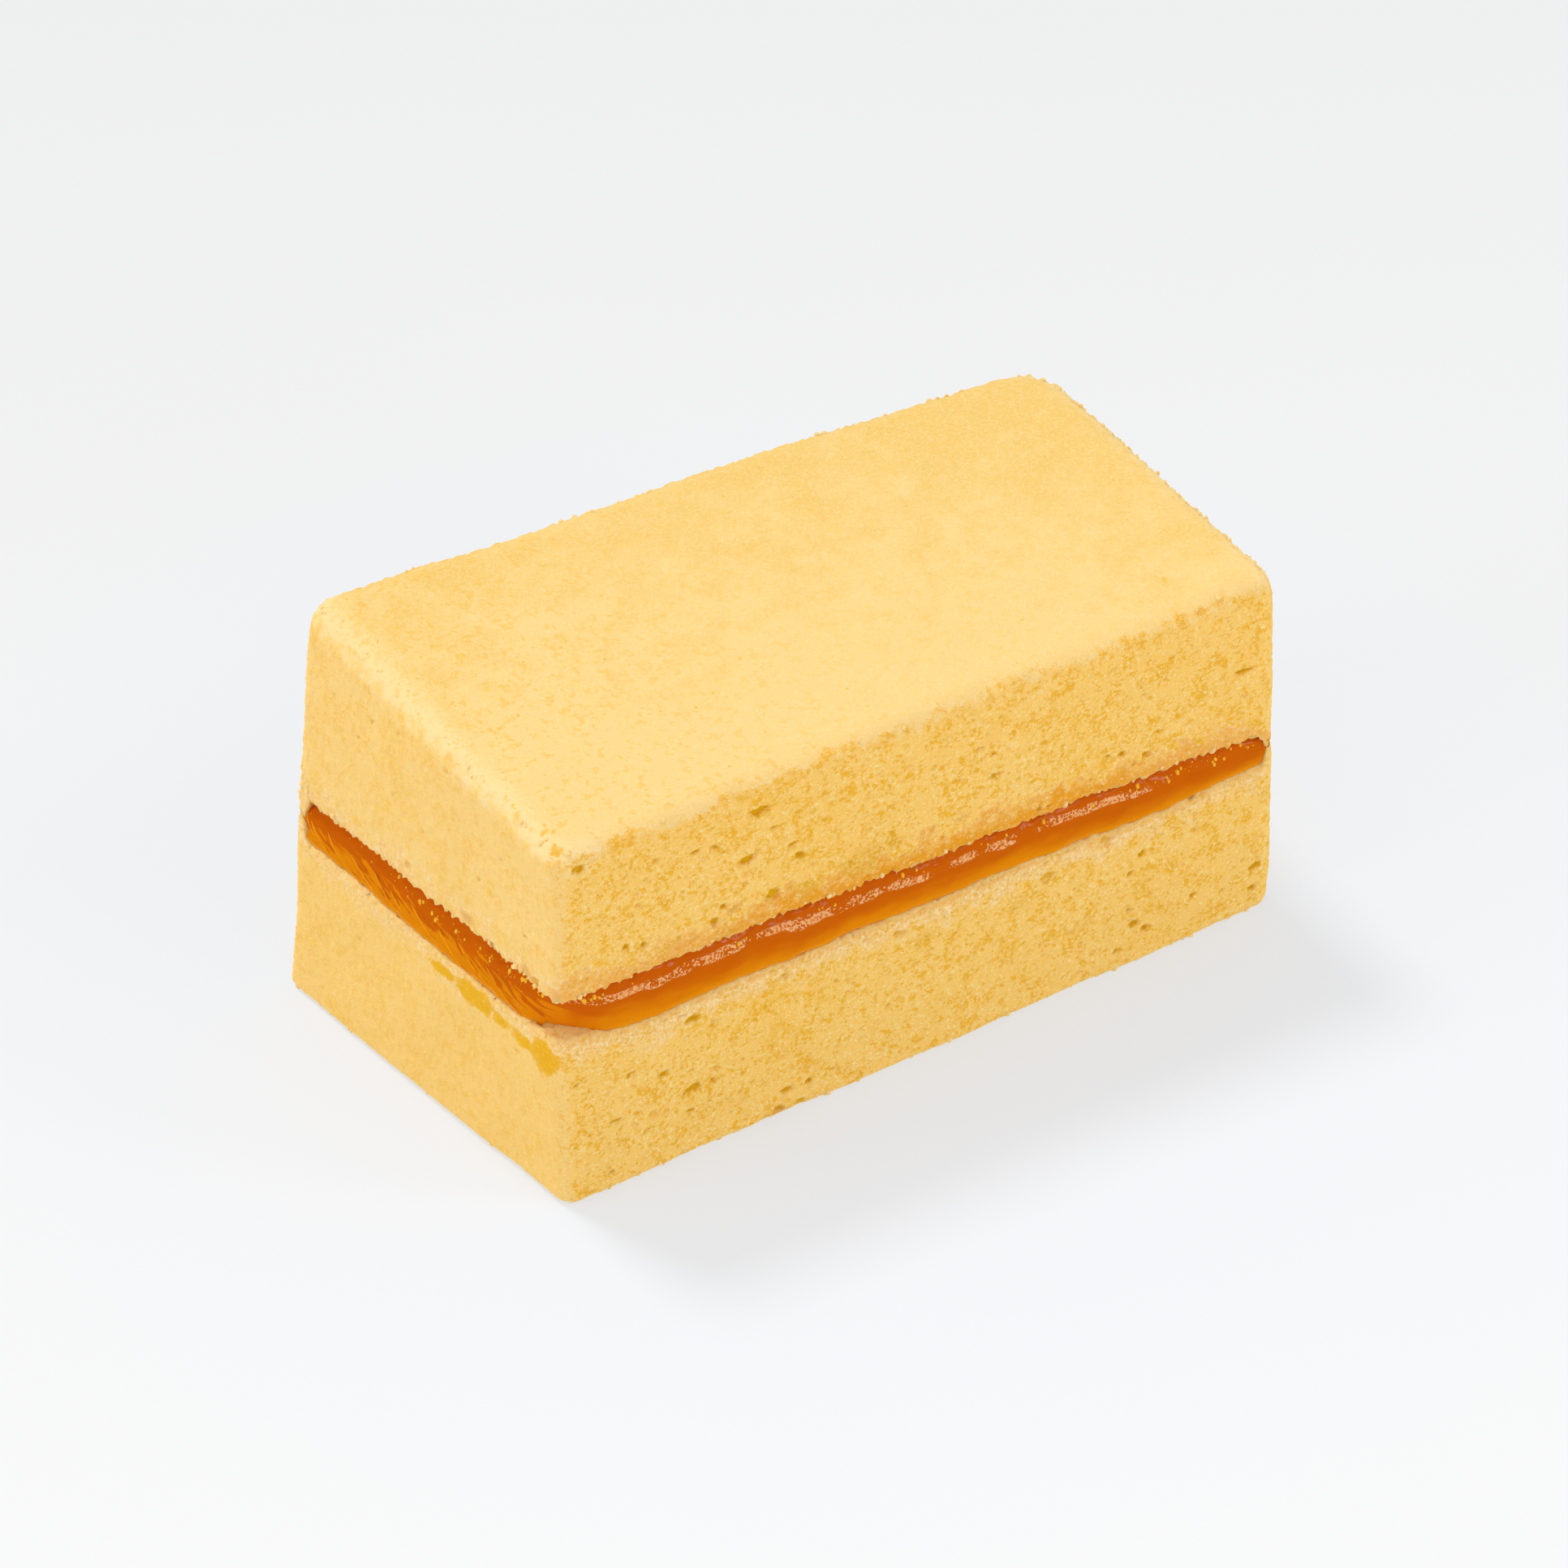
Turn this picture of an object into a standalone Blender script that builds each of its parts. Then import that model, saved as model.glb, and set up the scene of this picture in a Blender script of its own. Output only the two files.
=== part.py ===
"""Orange chiffon cake: a hand-cut bar of two sponge layers with an orange filling between them.

Metres, +Z up. X runs along the long cut side, Y across the cake, and the origin is the
middle of the underside. Each layer is one closed solid that runs right through the cake.
"""

from math import hypot, pi, sin
from typing import NamedTuple

import bmesh
import bpy
from mathutils import Vector, noise

MM = 0.001

# Driving dimensions. The heights of the layers' upper faces stand under CORNERS
LENGTH = 100 * MM
WIDTH = 50.6 * MM
LOWER_THICKNESS = 20.9 * MM
CLEARANCE = 0.3 * MM  # between a layer and the next

# Roundings of the sponge
FOOT_RADIUS = 0.9 * MM
CUT_RIM_RADIUS = 0.7 * MM  # beside the filling
CROWN_REACH = 7 * MM  # over this height the upright edges grow as round as the top edges
CROWN_MARGIN = 0.3 * MM  # and this much rounder

# The filling, which sags a little lower than the middle of its gap
FILLING_RECESS = 0.35 * MM
FILLING_SHOULDER = 0.46  # radius of its upper edge, as a share of its thickness
FILLING_TUCK = 0.17  # radius of its lower edge, as a share of its thickness

# What keeps the cake from being a plain box
DOME = 0.5 * MM  # the top skin rises from the near side to the middle of the far one
RIM_ARCH = 0.7 * MM  # the upper layer's near rim rises between its ends
RIM_DIP = 0.9 * MM  # the lower layer's near rim sinks towards the right
RIM_DIP_ALONG, RIM_DIP_HALF = 0.8, 0.18  # where, and half its length, as shares of LENGTH
LIP_GAP = 0.35 * MM  # between the two lips, where the layers pinch together
SAG_LENGTH, SAG = 26 * MM, 0.42 * MM  # slow unevenness of the whole cake
CRAG_LENGTH, CRAG = 8 * MM, 0.24 * MM  # crags of the cut faces
OOZE_LENGTH, OOZE = 6 * MM, 0.3 * MM  # lobes of the filling
STILL_HEIGHT = 4 * MM  # below this the unevenness fades, so that the underside is flat
WOBBLE_SHIFTS = [Vector((2.8, 9.1, 7.6)), Vector((1.6, 7.9, 1.4)), Vector((6.1, 1.3, 0.1))]

# Places of the points on the surface: close together at an edge, then evenly spaced
SPACING = 4.4 * MM
SPONGE_STEPS = [0.5 * MM, 1.3 * MM, 2.5 * MM, 4.4 * MM]  # in from an upright edge
FILLING_STEPS = [0.6 * MM, 1.7 * MM, 3.4 * MM, 5.8 * MM, 8.5 * MM]
FOOT_STEPS = [0.3 * MM, FOOT_RADIUS]  # up from the underside
RIM_STEPS = [0.3 * MM, 1.2 * MM]  # away from the filling
CROWN_STEPS = [0.8 * MM, 1.7 * MM, 2.8 * MM, 4.2 * MM]  # down from the top
UPPER_THICKNESS = 21.5 * MM  # on average, for the spacing alone
FILLING_SHARES = [0, 0.08, 0.2, 0.4, 0.6, 0.8, 0.92, 1]  # of the filling's thickness


class Corner(NamedTuple):
    """One upright edge of the cake. No two are alike, because the bar is cut by hand."""

    foot: tuple  # how far its foot is off the corner of the plain rectangle, in X and Y
    crown: tuple  # the same for its top
    gap: float  # height of the gap that the filling has
    top: float  # height of the cake
    radius: float  # of the sponge's upright edge
    crown_radius: float  # of its top edges
    filling_radius: float
    lip_reach: float  # how far from the edge the layers pinch together, 0 where they don't


CORNERS = {
    "near left": Corner(
        foot=(0.8 * MM, -1 * MM), crown=(0, 0.1 * MM), gap=6.4 * MM, top=46.4 * MM,
        radius=1.9 * MM, crown_radius=2.4 * MM, filling_radius=10 * MM, lip_reach=0,
    ),
    "near right": Corner(
        foot=(0.9 * MM, -0.2 * MM), crown=(-1.5 * MM, -0.7 * MM), gap=3.6 * MM, top=46.6 * MM,
        radius=2.8 * MM, crown_radius=3.2 * MM, filling_radius=3.4 * MM, lip_reach=1 * MM,
    ),
    "far right": Corner(
        foot=(1.5 * MM, -1 * MM), crown=(2 * MM, -2 * MM), gap=3.9 * MM, top=48.5 * MM,
        radius=6.5 * MM, crown_radius=4.4 * MM, filling_radius=8.5 * MM, lip_reach=1.3 * MM,
    ),
    "far left": Corner(
        foot=(-0.9 * MM, 0.8 * MM), crown=(1.4 * MM, 0.6 * MM), gap=5.3 * MM, top=51.8 * MM,
        radius=2.4 * MM, crown_radius=3.6 * MM, filling_radius=4 * MM, lip_reach=1.2 * MM,
    ),
}


def mix(low, high, share):
    return low + (high - low) * share


def ease(share):
    """0 to 1 with level ends."""
    share = min(max(share, 0), 1)
    return share * share * (3 - 2 * share)


def between_corners(value_of, along, across):
    """A corner's value blended over the plan. along and across run from 0 to 1."""
    near = mix(value_of(CORNERS["near left"]), value_of(CORNERS["near right"]), along)
    far = mix(value_of(CORNERS["far left"]), value_of(CORNERS["far right"]), along)
    return mix(near, far, across)


def nearest_corner(along, across):
    return CORNERS[("near" if across < 0.5 else "far") + (" left" if along < 0.5 else " right")]


def near_side(across):
    """1 on the near long side, fading to 0 on the far one."""
    return (1 - across) ** 3


def filling_floor(along, across):
    dip = RIM_DIP * ease(1 - abs(along - RIM_DIP_ALONG) / RIM_DIP_HALF)
    return LOWER_THICKNESS - dip * near_side(across)


def filling_ceiling(along, across):
    gap = between_corners(lambda corner: corner.gap, along, across)
    return LOWER_THICKNESS + gap + RIM_ARCH * sin(pi * along) * near_side(across)


def cake_top(along, across):
    dome = DOME * sin(pi * along) * ease(across)
    return between_corners(lambda corner: corner.top, along, across) + dome


def rounded(inward, depth, radius):
    """Takes a point of a square edge to the arc that rounds it.

    inward and depth are its distances from the two faces that meet there.
    """
    from_centre = radius - inward, radius - depth
    if min(from_centre) <= 0:
        return inward, depth
    shrink = max(from_centre) / hypot(*from_centre)
    return radius - from_centre[0] * shrink, radius - from_centre[1] * shrink


def inward_of(x, y, margin=0):
    """How far a point is inside the rectangle that lies margin inside the cake's outline."""
    return min(x - margin, LENGTH - margin - x, y - margin, WIDTH - margin - y)


def rounded_in_plan(x, y, radius, inward, margin=0):
    """Rounds that rectangle's nearest corner, seen from above, and sets how far inside it is."""
    centre_x = min(max(x, margin + radius), LENGTH - margin - radius)
    centre_y = min(max(y, margin + radius), WIDTH - margin - radius)
    out_x, out_y = x - centre_x, y - centre_y
    far = hypot(out_x, out_y)
    if far == 0:
        return x, y
    reach = (radius - inward) / far
    return centre_x + out_x * reach, centre_y + out_y * reach


def lip(x, y):
    """How far one lip reaches towards the other, where the layers pinch together at a corner."""
    along, across = x / LENGTH, y / WIDTH
    corner = nearest_corner(along, across)
    if not corner.lip_reach:
        return 0
    x, y = rounded_in_plan(x, y, corner.radius, inward_of(x, y))
    round_edge = (hypot(1, 1) - 1) * corner.radius  # from the sharp corner to the rounded one
    from_edge = hypot(min(x, LENGTH - x), min(y, WIDTH - y)) - round_edge
    gap = filling_ceiling(along, across) - filling_floor(along, across)
    return (gap - LIP_GAP) / 2 * ease(2 * (1 - from_edge / corner.lip_reach))


def on_cake(x, y, height):
    """From the plain rectangle to the real, slightly crooked plan at this height."""
    along, across = x / LENGTH, y / WIDTH
    share = height / cake_top(along, across)

    def offset(axis):
        return between_corners(lambda c: mix(c.foot[axis], c.crown[axis], share), along, across)

    return Vector((x - LENGTH / 2 + offset(0), y - WIDTH / 2 + offset(1), height))


def wobble(place):
    """A smooth random direction at a place. Its parts differ only in where they are read."""
    return Vector([noise.noise(place + shift) for shift in WOBBLE_SHIFTS])


def uneven(point):
    """Adds the cake's slow unevenness and its crags. The underside stays flat."""
    moved = wobble(point / SAG_LENGTH) * SAG + wobble(point / CRAG_LENGTH) * CRAG
    moved.z *= ease(point.z / STILL_HEIGHT)
    return point + moved


def sponge_point(x, y, share, floor, ceiling, floor_radius, ceiling_radius, crown_share):
    """A point of a sponge layer. share runs from 0 on its lower face to 1 on its upper face.

    crown_share says how far its upright edge has turned as round as the top edges.
    """
    low, high = floor(x, y), ceiling(x, y)
    height = mix(low, high, share)
    from_top = share > 0.5
    depth = high - height if from_top else height - low
    edge_radius = ceiling_radius(x, y) if from_top else floor_radius
    inward, depth = rounded(inward_of(x, y), depth, edge_radius)

    corner = nearest_corner(x / LENGTH, y / WIDTH)
    crown_radius = max(corner.radius, CROWN_MARGIN + corner.crown_radius)
    radius = mix(corner.radius, crown_radius, crown_share(high - height))
    x, y = rounded_in_plan(x, y, radius, inward)
    return uneven(on_cake(x, y, high - depth if from_top else low + depth))


def lower_point(x, y, share):
    def floor(x, y):
        return 0

    def ceiling(x, y):
        return filling_floor(x / LENGTH, y / WIDTH) - CLEARANCE / 2 + lip(x, y)

    def rim_radius(x, y):
        return CUT_RIM_RADIUS

    def crown_share(depth):
        return 0

    return sponge_point(x, y, share, floor, ceiling, FOOT_RADIUS, rim_radius, crown_share)


def upper_point(x, y, share):
    def floor(x, y):
        return filling_ceiling(x / LENGTH, y / WIDTH) + CLEARANCE / 2 - lip(x, y)

    def ceiling(x, y):
        return cake_top(x / LENGTH, y / WIDTH)

    def crown_radius(x, y):
        return between_corners(lambda corner: corner.crown_radius, x / LENGTH, y / WIDTH)

    def crown_share(depth):
        return ease(1 - depth / CROWN_REACH)

    return sponge_point(x, y, share, floor, ceiling, CUT_RIM_RADIUS, crown_radius, crown_share)


def filling_point(x, y, share):
    """A point of the filling: a slab whose side slopes back under the upper layer."""
    along, across = x / LENGTH, y / WIDTH
    low = filling_floor(along, across) + CLEARANCE / 2
    high = filling_ceiling(along, across) - CLEARANCE / 2
    height = mix(low, high, share)
    from_top = 1 - share < FILLING_SHOULDER
    depth = high - height if from_top else height - low
    edge_radius = (high - low) * (FILLING_SHOULDER if from_top else FILLING_TUCK)
    inward, depth = rounded(inward_of(x, y, FILLING_RECESS), depth, edge_radius)

    inward += OOZE * (0.5 + noise.noise(Vector((x, y, height)) / OOZE_LENGTH))
    radius = nearest_corner(along, across).filling_radius
    x, y = rounded_in_plan(x, y, radius, inward, FILLING_RECESS)
    return uneven(on_cake(x, y, high - depth if from_top else low + depth))


def places(start, end, steps, end_steps=None):
    """Places from start to end: at the steps from both ends, and evenly spaced between them."""
    end_steps = end_steps or steps
    first, last = start + steps[-1], end - end_steps[-1]
    count = max(1, round((last - first) / SPACING))
    middle = [mix(first, last, i / count) for i in range(1, count)]
    at_end = [end - step for step in reversed(end_steps)]
    return [start] + [start + step for step in steps] + middle + at_end + [end]


def shares_of(thickness, lower_steps, upper_steps):
    """Heights in a layer, as shares of its thickness."""
    return [place / thickness for place in places(0, thickness, lower_steps, upper_steps)]


def block(name, xs, ys, shares, point_at):
    """A closed block of quads over a lattice, each point put where point_at(x, y, share) says."""
    mesh = bmesh.new()
    made = {}

    def corner(i, j, k):
        if (i, j, k) not in made:
            made[i, j, k] = mesh.verts.new(point_at(xs[i], ys[j], shares[k]))
        return made[i, j, k]

    last_x, last_y, last_z = len(xs) - 1, len(ys) - 1, len(shares) - 1
    for i in range(last_x):
        for j in range(last_y):
            ring = (i, j), (i + 1, j), (i + 1, j + 1), (i, j + 1)
            mesh.faces.new([corner(a, b, last_z) for a, b in ring])
            mesh.faces.new([corner(a, b, 0) for a, b in reversed(ring)])
    for k in range(last_z):
        for i in range(last_x):
            ring = (i, k), (i + 1, k), (i + 1, k + 1), (i, k + 1)
            mesh.faces.new([corner(a, 0, c) for a, c in ring])
            mesh.faces.new([corner(a, last_y, c) for a, c in reversed(ring)])
        for j in range(last_y):
            ring = (j, k), (j + 1, k), (j + 1, k + 1), (j, k + 1)
            mesh.faces.new([corner(last_x, b, c) for b, c in ring])
            mesh.faces.new([corner(0, b, c) for b, c in reversed(ring)])
    data = bpy.data.meshes.new(name)
    mesh.to_mesh(data)
    mesh.free()
    data.shade_smooth()
    solid = bpy.data.objects.new(name, data)
    bpy.context.scene.collection.objects.link(solid)
    return solid


def lower_sponge():
    xs, ys = places(0, LENGTH, SPONGE_STEPS), places(0, WIDTH, SPONGE_STEPS)
    shares = shares_of(LOWER_THICKNESS, FOOT_STEPS, RIM_STEPS)
    return block("lower_sponge", xs, ys, shares, lower_point)


def upper_sponge():
    xs, ys = places(0, LENGTH, SPONGE_STEPS), places(0, WIDTH, SPONGE_STEPS)
    shares = shares_of(UPPER_THICKNESS, RIM_STEPS, CROWN_STEPS)
    return block("upper_sponge", xs, ys, shares, upper_point)


def orange_filling():
    start = FILLING_RECESS
    xs = places(start, LENGTH - start, FILLING_STEPS)
    ys = places(start, WIDTH - start, FILLING_STEPS)
    return block("orange_filling", xs, ys, FILLING_SHARES, filling_point)


def material(name, colour, roughness, subsurface):
    made = bpy.data.materials.new(name)
    made.use_nodes = True
    shader = made.node_tree.nodes["Principled BSDF"]
    shader.inputs["Base Color"].default_value = (*colour, 1)
    shader.inputs["Roughness"].default_value = roughness
    shader.inputs["Metallic"].default_value = 0
    shader.inputs["Subsurface Weight"].default_value = subsurface
    return made


def centre_on_footprint(solids):
    """Puts the origin under the middle of the whole cake."""
    points = [vertex.co for solid in solids for vertex in solid.data.vertices]
    middle_x = (min(p.x for p in points) + max(p.x for p in points)) / 2
    middle_y = (min(p.y for p in points) + max(p.y for p in points)) / 2
    for point in points:
        point.x -= middle_x
        point.y -= middle_y


def build():
    for old in list(bpy.data.objects):
        bpy.data.objects.remove(old)

    sponge = material("chiffon sponge", colour=(0.86, 0.6, 0.2), roughness=0.85, subsurface=0.2)
    jelly = material("orange jelly", colour=(0.72, 0.16, 0.0), roughness=0.15, subsurface=0.3)
    lower, filling, upper = lower_sponge(), orange_filling(), upper_sponge()
    lower.data.materials.append(sponge)
    filling.data.materials.append(jelly)
    upper.data.materials.append(sponge)
    centre_on_footprint([lower, filling, upper])


build()
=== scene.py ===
"""Orange chiffon cake: a hand-cut bar of two sponge layers with an orange filling between them.

The frame gives the solids' places. This script makes the cut crumb with its pores, the jelly
filling with its threads and a broken strip painted lighter as a highlight, the loose crumbs,
and the stage. Metres, +Z up, and X runs along the long cut side. The camera looks at the near side, -Y,
and the left end, -X.
"""

from math import cos, hypot, pi, radians, sin
from typing import NamedTuple

import bmesh
import bpy
import numpy as np
from bpy.props import FloatProperty, FloatVectorProperty, IntProperty, PointerProperty
from mathutils import Matrix, Vector, noise


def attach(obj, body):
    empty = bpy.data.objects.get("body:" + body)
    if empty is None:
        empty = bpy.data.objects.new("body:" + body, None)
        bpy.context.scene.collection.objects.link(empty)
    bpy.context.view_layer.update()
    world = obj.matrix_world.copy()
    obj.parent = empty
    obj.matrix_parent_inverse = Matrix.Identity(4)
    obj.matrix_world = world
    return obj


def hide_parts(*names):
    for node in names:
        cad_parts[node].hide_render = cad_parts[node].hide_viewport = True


bl_info = {
    "name": "Orange chiffon cake",
    "version": (1, 0, 0),
    "blender": (4, 5, 0),
    "location": "3D View > Sidebar > Cake",
    "description": "Makes a bar of chiffon sponge with an orange filling",
    "category": "Add Mesh",
}

MM = 0.001
PER_MM = 1 / MM
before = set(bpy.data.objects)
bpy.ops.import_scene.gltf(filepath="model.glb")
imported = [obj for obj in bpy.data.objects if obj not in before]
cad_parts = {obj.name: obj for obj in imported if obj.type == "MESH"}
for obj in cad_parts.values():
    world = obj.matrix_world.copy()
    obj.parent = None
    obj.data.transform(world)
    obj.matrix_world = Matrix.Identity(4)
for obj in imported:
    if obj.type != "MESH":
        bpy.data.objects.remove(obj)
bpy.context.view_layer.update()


# ---------------------------------------------------------------------------------------------
# The cake's form, from the same named sizes as its solids
# ---------------------------------------------------------------------------------------------

LENGTH = 100 * MM
WIDTH = 50.6 * MM
LOWER_THICKNESS = 20.9 * MM
UPPER_THICKNESS = 25 * MM  # where it is thickest, for the spacing alone
FAR_BELOW_CROWN = 25.0  # in mm, for what doesn't reach up to the top edges
CLEARANCE = 0.3 * MM  # between a layer and the next
FOOT_RADIUS = 0.9 * MM
CUT_RIM_RADIUS = 0.5 * MM  # beside the filling
CROWN_REACH = 7 * MM  # over this height the upright edges grow as round as the top edges
CROWN_MARGIN = 0.3 * MM  # and this much rounder
FILLING_THICKNESS = LOWER_THICKNESS / 4  # about, for the spacing alone
FILLING_RECESS = 0.2 * MM
FILLING_SHOULDER = 0.46  # radius of its upper edge, as a share of its thickness
FILLING_TUCK = 0.07  # radius of its lower edge, as a share of its thickness
FILLING_SINK = 0.2 * MM  # how far it has sunk into the crumb below and above
DOME = 0.5 * MM  # the top skin rises from the near side to the middle of the far one
RIM_ARCH = 0.7 * MM  # the upper layer's near rim rises between its ends
RIM_DIP = 0.9 * MM  # the lower layer's near rim sinks towards the right
RIM_DIP_ALONG, RIM_DIP_HALF = 0.8, 0.18  # where, and half its length, as shares of LENGTH
LEDGE_RISE, LEDGE_REACH = 1.3 * MM, 11 * MM  # crumb drawn up under the filling's near left corner
LIP_GAP = -0.3 * MM  # the lips run into each other, where the layers pinch together
SAG_LENGTH, SAG = 26 * MM, 0.42 * MM  # slow unevenness of the whole cake
CRAG_LENGTH, CRAG = 8 * MM, 0.24 * MM  # crags of the cut faces
OOZE_LENGTH, OOZE = 6 * MM, 0.3 * MM  # lobes of the filling
STILL_HEIGHT = 4 * MM  # below this the unevenness fades, so that the underside is flat
WOBBLE_SHIFTS = [Vector((2.8, 9.1, 7.6)), Vector((1.6, 7.9, 1.4)), Vector((6.1, 1.3, 0.1))]


class Corner(NamedTuple):
    """One upright edge of the cake. No two are alike, because the bar is cut by hand."""

    foot: tuple  # how far its foot is off the corner of the plain rectangle, in X and Y
    crown: tuple  # the same for its top
    gap: float  # height of the gap that the filling has
    top: float  # height of the cake
    radius: float  # of the sponge's upright edge
    crown_radius: float  # of its top edges
    filling_radius: float
    lip_reach: float  # how far from the edge the layers pinch together, 0 where they don't


CORNERS = {
    "near left": Corner(
        foot=(0.8 * MM, -1 * MM), crown=(0, 0.1 * MM), gap=6.4 * MM, top=46.4 * MM,
        radius=1.9 * MM, crown_radius=2.4 * MM, filling_radius=9.5 * MM, lip_reach=0,
    ),
    "near right": Corner(
        foot=(0.9 * MM, -0.2 * MM), crown=(-1.5 * MM, -0.7 * MM), gap=3.6 * MM, top=46.6 * MM,
        radius=2.8 * MM, crown_radius=3.2 * MM, filling_radius=1.9 * MM, lip_reach=1.6 * MM,
    ),
    "far right": Corner(
        foot=(1.5 * MM, -1 * MM), crown=(2 * MM, -2 * MM), gap=3.9 * MM, top=48.5 * MM,
        radius=6.5 * MM, crown_radius=4.4 * MM, filling_radius=7.5 * MM, lip_reach=1.3 * MM,
    ),
    "far left": Corner(
        foot=(-0.9 * MM, 0.8 * MM), crown=(1.4 * MM, 0.6 * MM), gap=5.3 * MM, top=51.8 * MM,
        radius=2.4 * MM, crown_radius=3.6 * MM, filling_radius=1.8 * MM, lip_reach=2.4 * MM,
    ),
}


def mix(low, high, share):
    return low + (high - low) * share


def ease(share):
    """0 to 1 with level ends."""
    share = min(max(share, 0), 1)
    return share * share * (3 - 2 * share)


def between_corners(value_of, along, across):
    """A corner's value blended over the plan. along and across run from 0 to 1."""
    near = mix(value_of(CORNERS["near left"]), value_of(CORNERS["near right"]), along)
    far = mix(value_of(CORNERS["far left"]), value_of(CORNERS["far right"]), along)
    return mix(near, far, across)


def nearest_corner(along, across):
    return CORNERS[("near" if across < 0.5 else "far") + (" left" if along < 0.5 else " right")]


def near_side(across):
    """1 on the near long side, fading to 0 on the far one."""
    return (1 - across) ** 3


def filling_floor(along, across):
    dip = RIM_DIP * ease(1 - abs(along - RIM_DIP_ALONG) / RIM_DIP_HALF)
    return LOWER_THICKNESS - dip * near_side(across)


def filling_ceiling(along, across):
    gap = between_corners(lambda corner: corner.gap, along, across)
    return LOWER_THICKNESS + gap + RIM_ARCH * sin(pi * along) * near_side(across)


def cake_top(along, across):
    dome = DOME * sin(pi * along) * ease(across)
    return between_corners(lambda corner: corner.top, along, across) + dome


def rounded(inward, depth, radius):
    """Takes a point of a square edge to the arc that rounds it.

    inward and depth are its distances from the two faces that meet there.
    """
    from_centre = radius - inward, radius - depth
    if min(from_centre) <= 0:
        return inward, depth
    shrink = max(from_centre) / hypot(*from_centre)
    return radius - from_centre[0] * shrink, radius - from_centre[1] * shrink


def inward_of(x, y, margin=0):
    """How far a point is inside the rectangle that lies margin inside the cake's outline."""
    return min(x - margin, LENGTH - margin - x, y - margin, WIDTH - margin - y)


def rounded_in_plan(x, y, radius, inward, margin=0):
    """Rounds that rectangle's nearest corner, seen from above, and sets how far inside it is."""
    centre_x = min(max(x, margin + radius), LENGTH - margin - radius)
    centre_y = min(max(y, margin + radius), WIDTH - margin - radius)
    out_x, out_y = x - centre_x, y - centre_y
    far = hypot(out_x, out_y)
    if far == 0:
        return x, y
    reach = (radius - inward) / far
    return centre_x + out_x * reach, centre_y + out_y * reach


def lip(x, y):
    """How far one lip reaches towards the other, where the layers pinch together at a corner."""
    along, across = x / LENGTH, y / WIDTH
    corner = nearest_corner(along, across)
    if not corner.lip_reach:
        return 0
    x, y = rounded_in_plan(x, y, corner.radius, inward_of(x, y))
    round_edge = (hypot(1, 1) - 1) * corner.radius  # from the sharp corner to the rounded one
    from_edge = hypot(min(x, LENGTH - x), min(y, WIDTH - y)) - round_edge
    gap = filling_ceiling(along, across) - filling_floor(along, across)
    return (gap - LIP_GAP) / 2 * ease(2 * (1 - from_edge / corner.lip_reach))


def on_cake(x, y, height):
    """From the plain rectangle to the real, slightly crooked plan at this height."""
    along, across = x / LENGTH, y / WIDTH
    share = height / cake_top(along, across)

    def offset(axis):
        return between_corners(lambda c: mix(c.foot[axis], c.crown[axis], share), along, across)

    return Vector((x - LENGTH / 2 + offset(0), y - WIDTH / 2 + offset(1), height))


def wobble(place):
    """A smooth random direction at a place. Its parts differ only in where they are read."""
    return Vector([noise.noise(place + shift) for shift in WOBBLE_SHIFTS])


def uneven(point):
    """Adds the cake's slow unevenness and its crags. The underside stays flat."""
    moved = wobble(point / SAG_LENGTH) * SAG + wobble(point / CRAG_LENGTH) * CRAG
    moved.z *= ease(point.z / STILL_HEIGHT)
    return point + moved


class Spot(NamedTuple):
    """A point of a visible surface, and what its finish goes by. Distances are in mm."""

    place: Vector
    below_crown: float  # from the top edge, down the side, and less than 0 on the top
    from_filling: float  # height above or below the filling
    rise: float = 0  # from 0 at the foot of a layer to 1 at its top


def sponge_spot(x, y, share, low, high, radii, crown):
    """A point of a sponge layer between the heights low and high.

    share runs from 0 on its lower face to 1 on its upper one, radii are those of its lower and
    upper edges, and crown says whether its top is the cake's own.
    """
    height = mix(low, high, share)
    from_top = share > 0.5
    depth = high - height if from_top else height - low
    flat = inward_of(x, y)
    inward, depth = rounded(flat, depth, radii[from_top])

    corner = nearest_corner(x / LENGTH, y / WIDTH)
    crown_share = ease(1 - (high - height) / CROWN_REACH) if crown else 0
    radius = mix(corner.radius, max(corner.radius, CROWN_MARGIN + corner.crown_radius), crown_share)
    plan_x, plan_y = rounded_in_plan(x, y, radius, inward)
    place = uneven(on_cake(plan_x, plan_y, high - depth if from_top else low + depth))

    below_crown = (high - height - flat) / MM if crown else FAR_BELOW_CROWN
    from_filling = (height - low if crown else high - height) / MM
    return Spot(place, below_crown, from_filling, share)


def lower_spot(x, y, share):
    high = filling_floor(x / LENGTH, y / WIDTH) - CLEARANCE / 2 + lip(x, y)
    high += LEDGE_RISE * ease(1 - hypot(x, y) / LEDGE_REACH)
    return sponge_spot(x, y, share, 0, high, (FOOT_RADIUS, CUT_RIM_RADIUS), False)


def upper_spot(x, y, share):
    along, across = x / LENGTH, y / WIDTH
    low = filling_ceiling(along, across) + CLEARANCE / 2 - lip(x, y)
    crown_radius = between_corners(lambda corner: corner.crown_radius, along, across)
    radii = CUT_RIM_RADIUS, crown_radius
    return sponge_spot(x, y, share, low, cake_top(along, across), radii, True)


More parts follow.
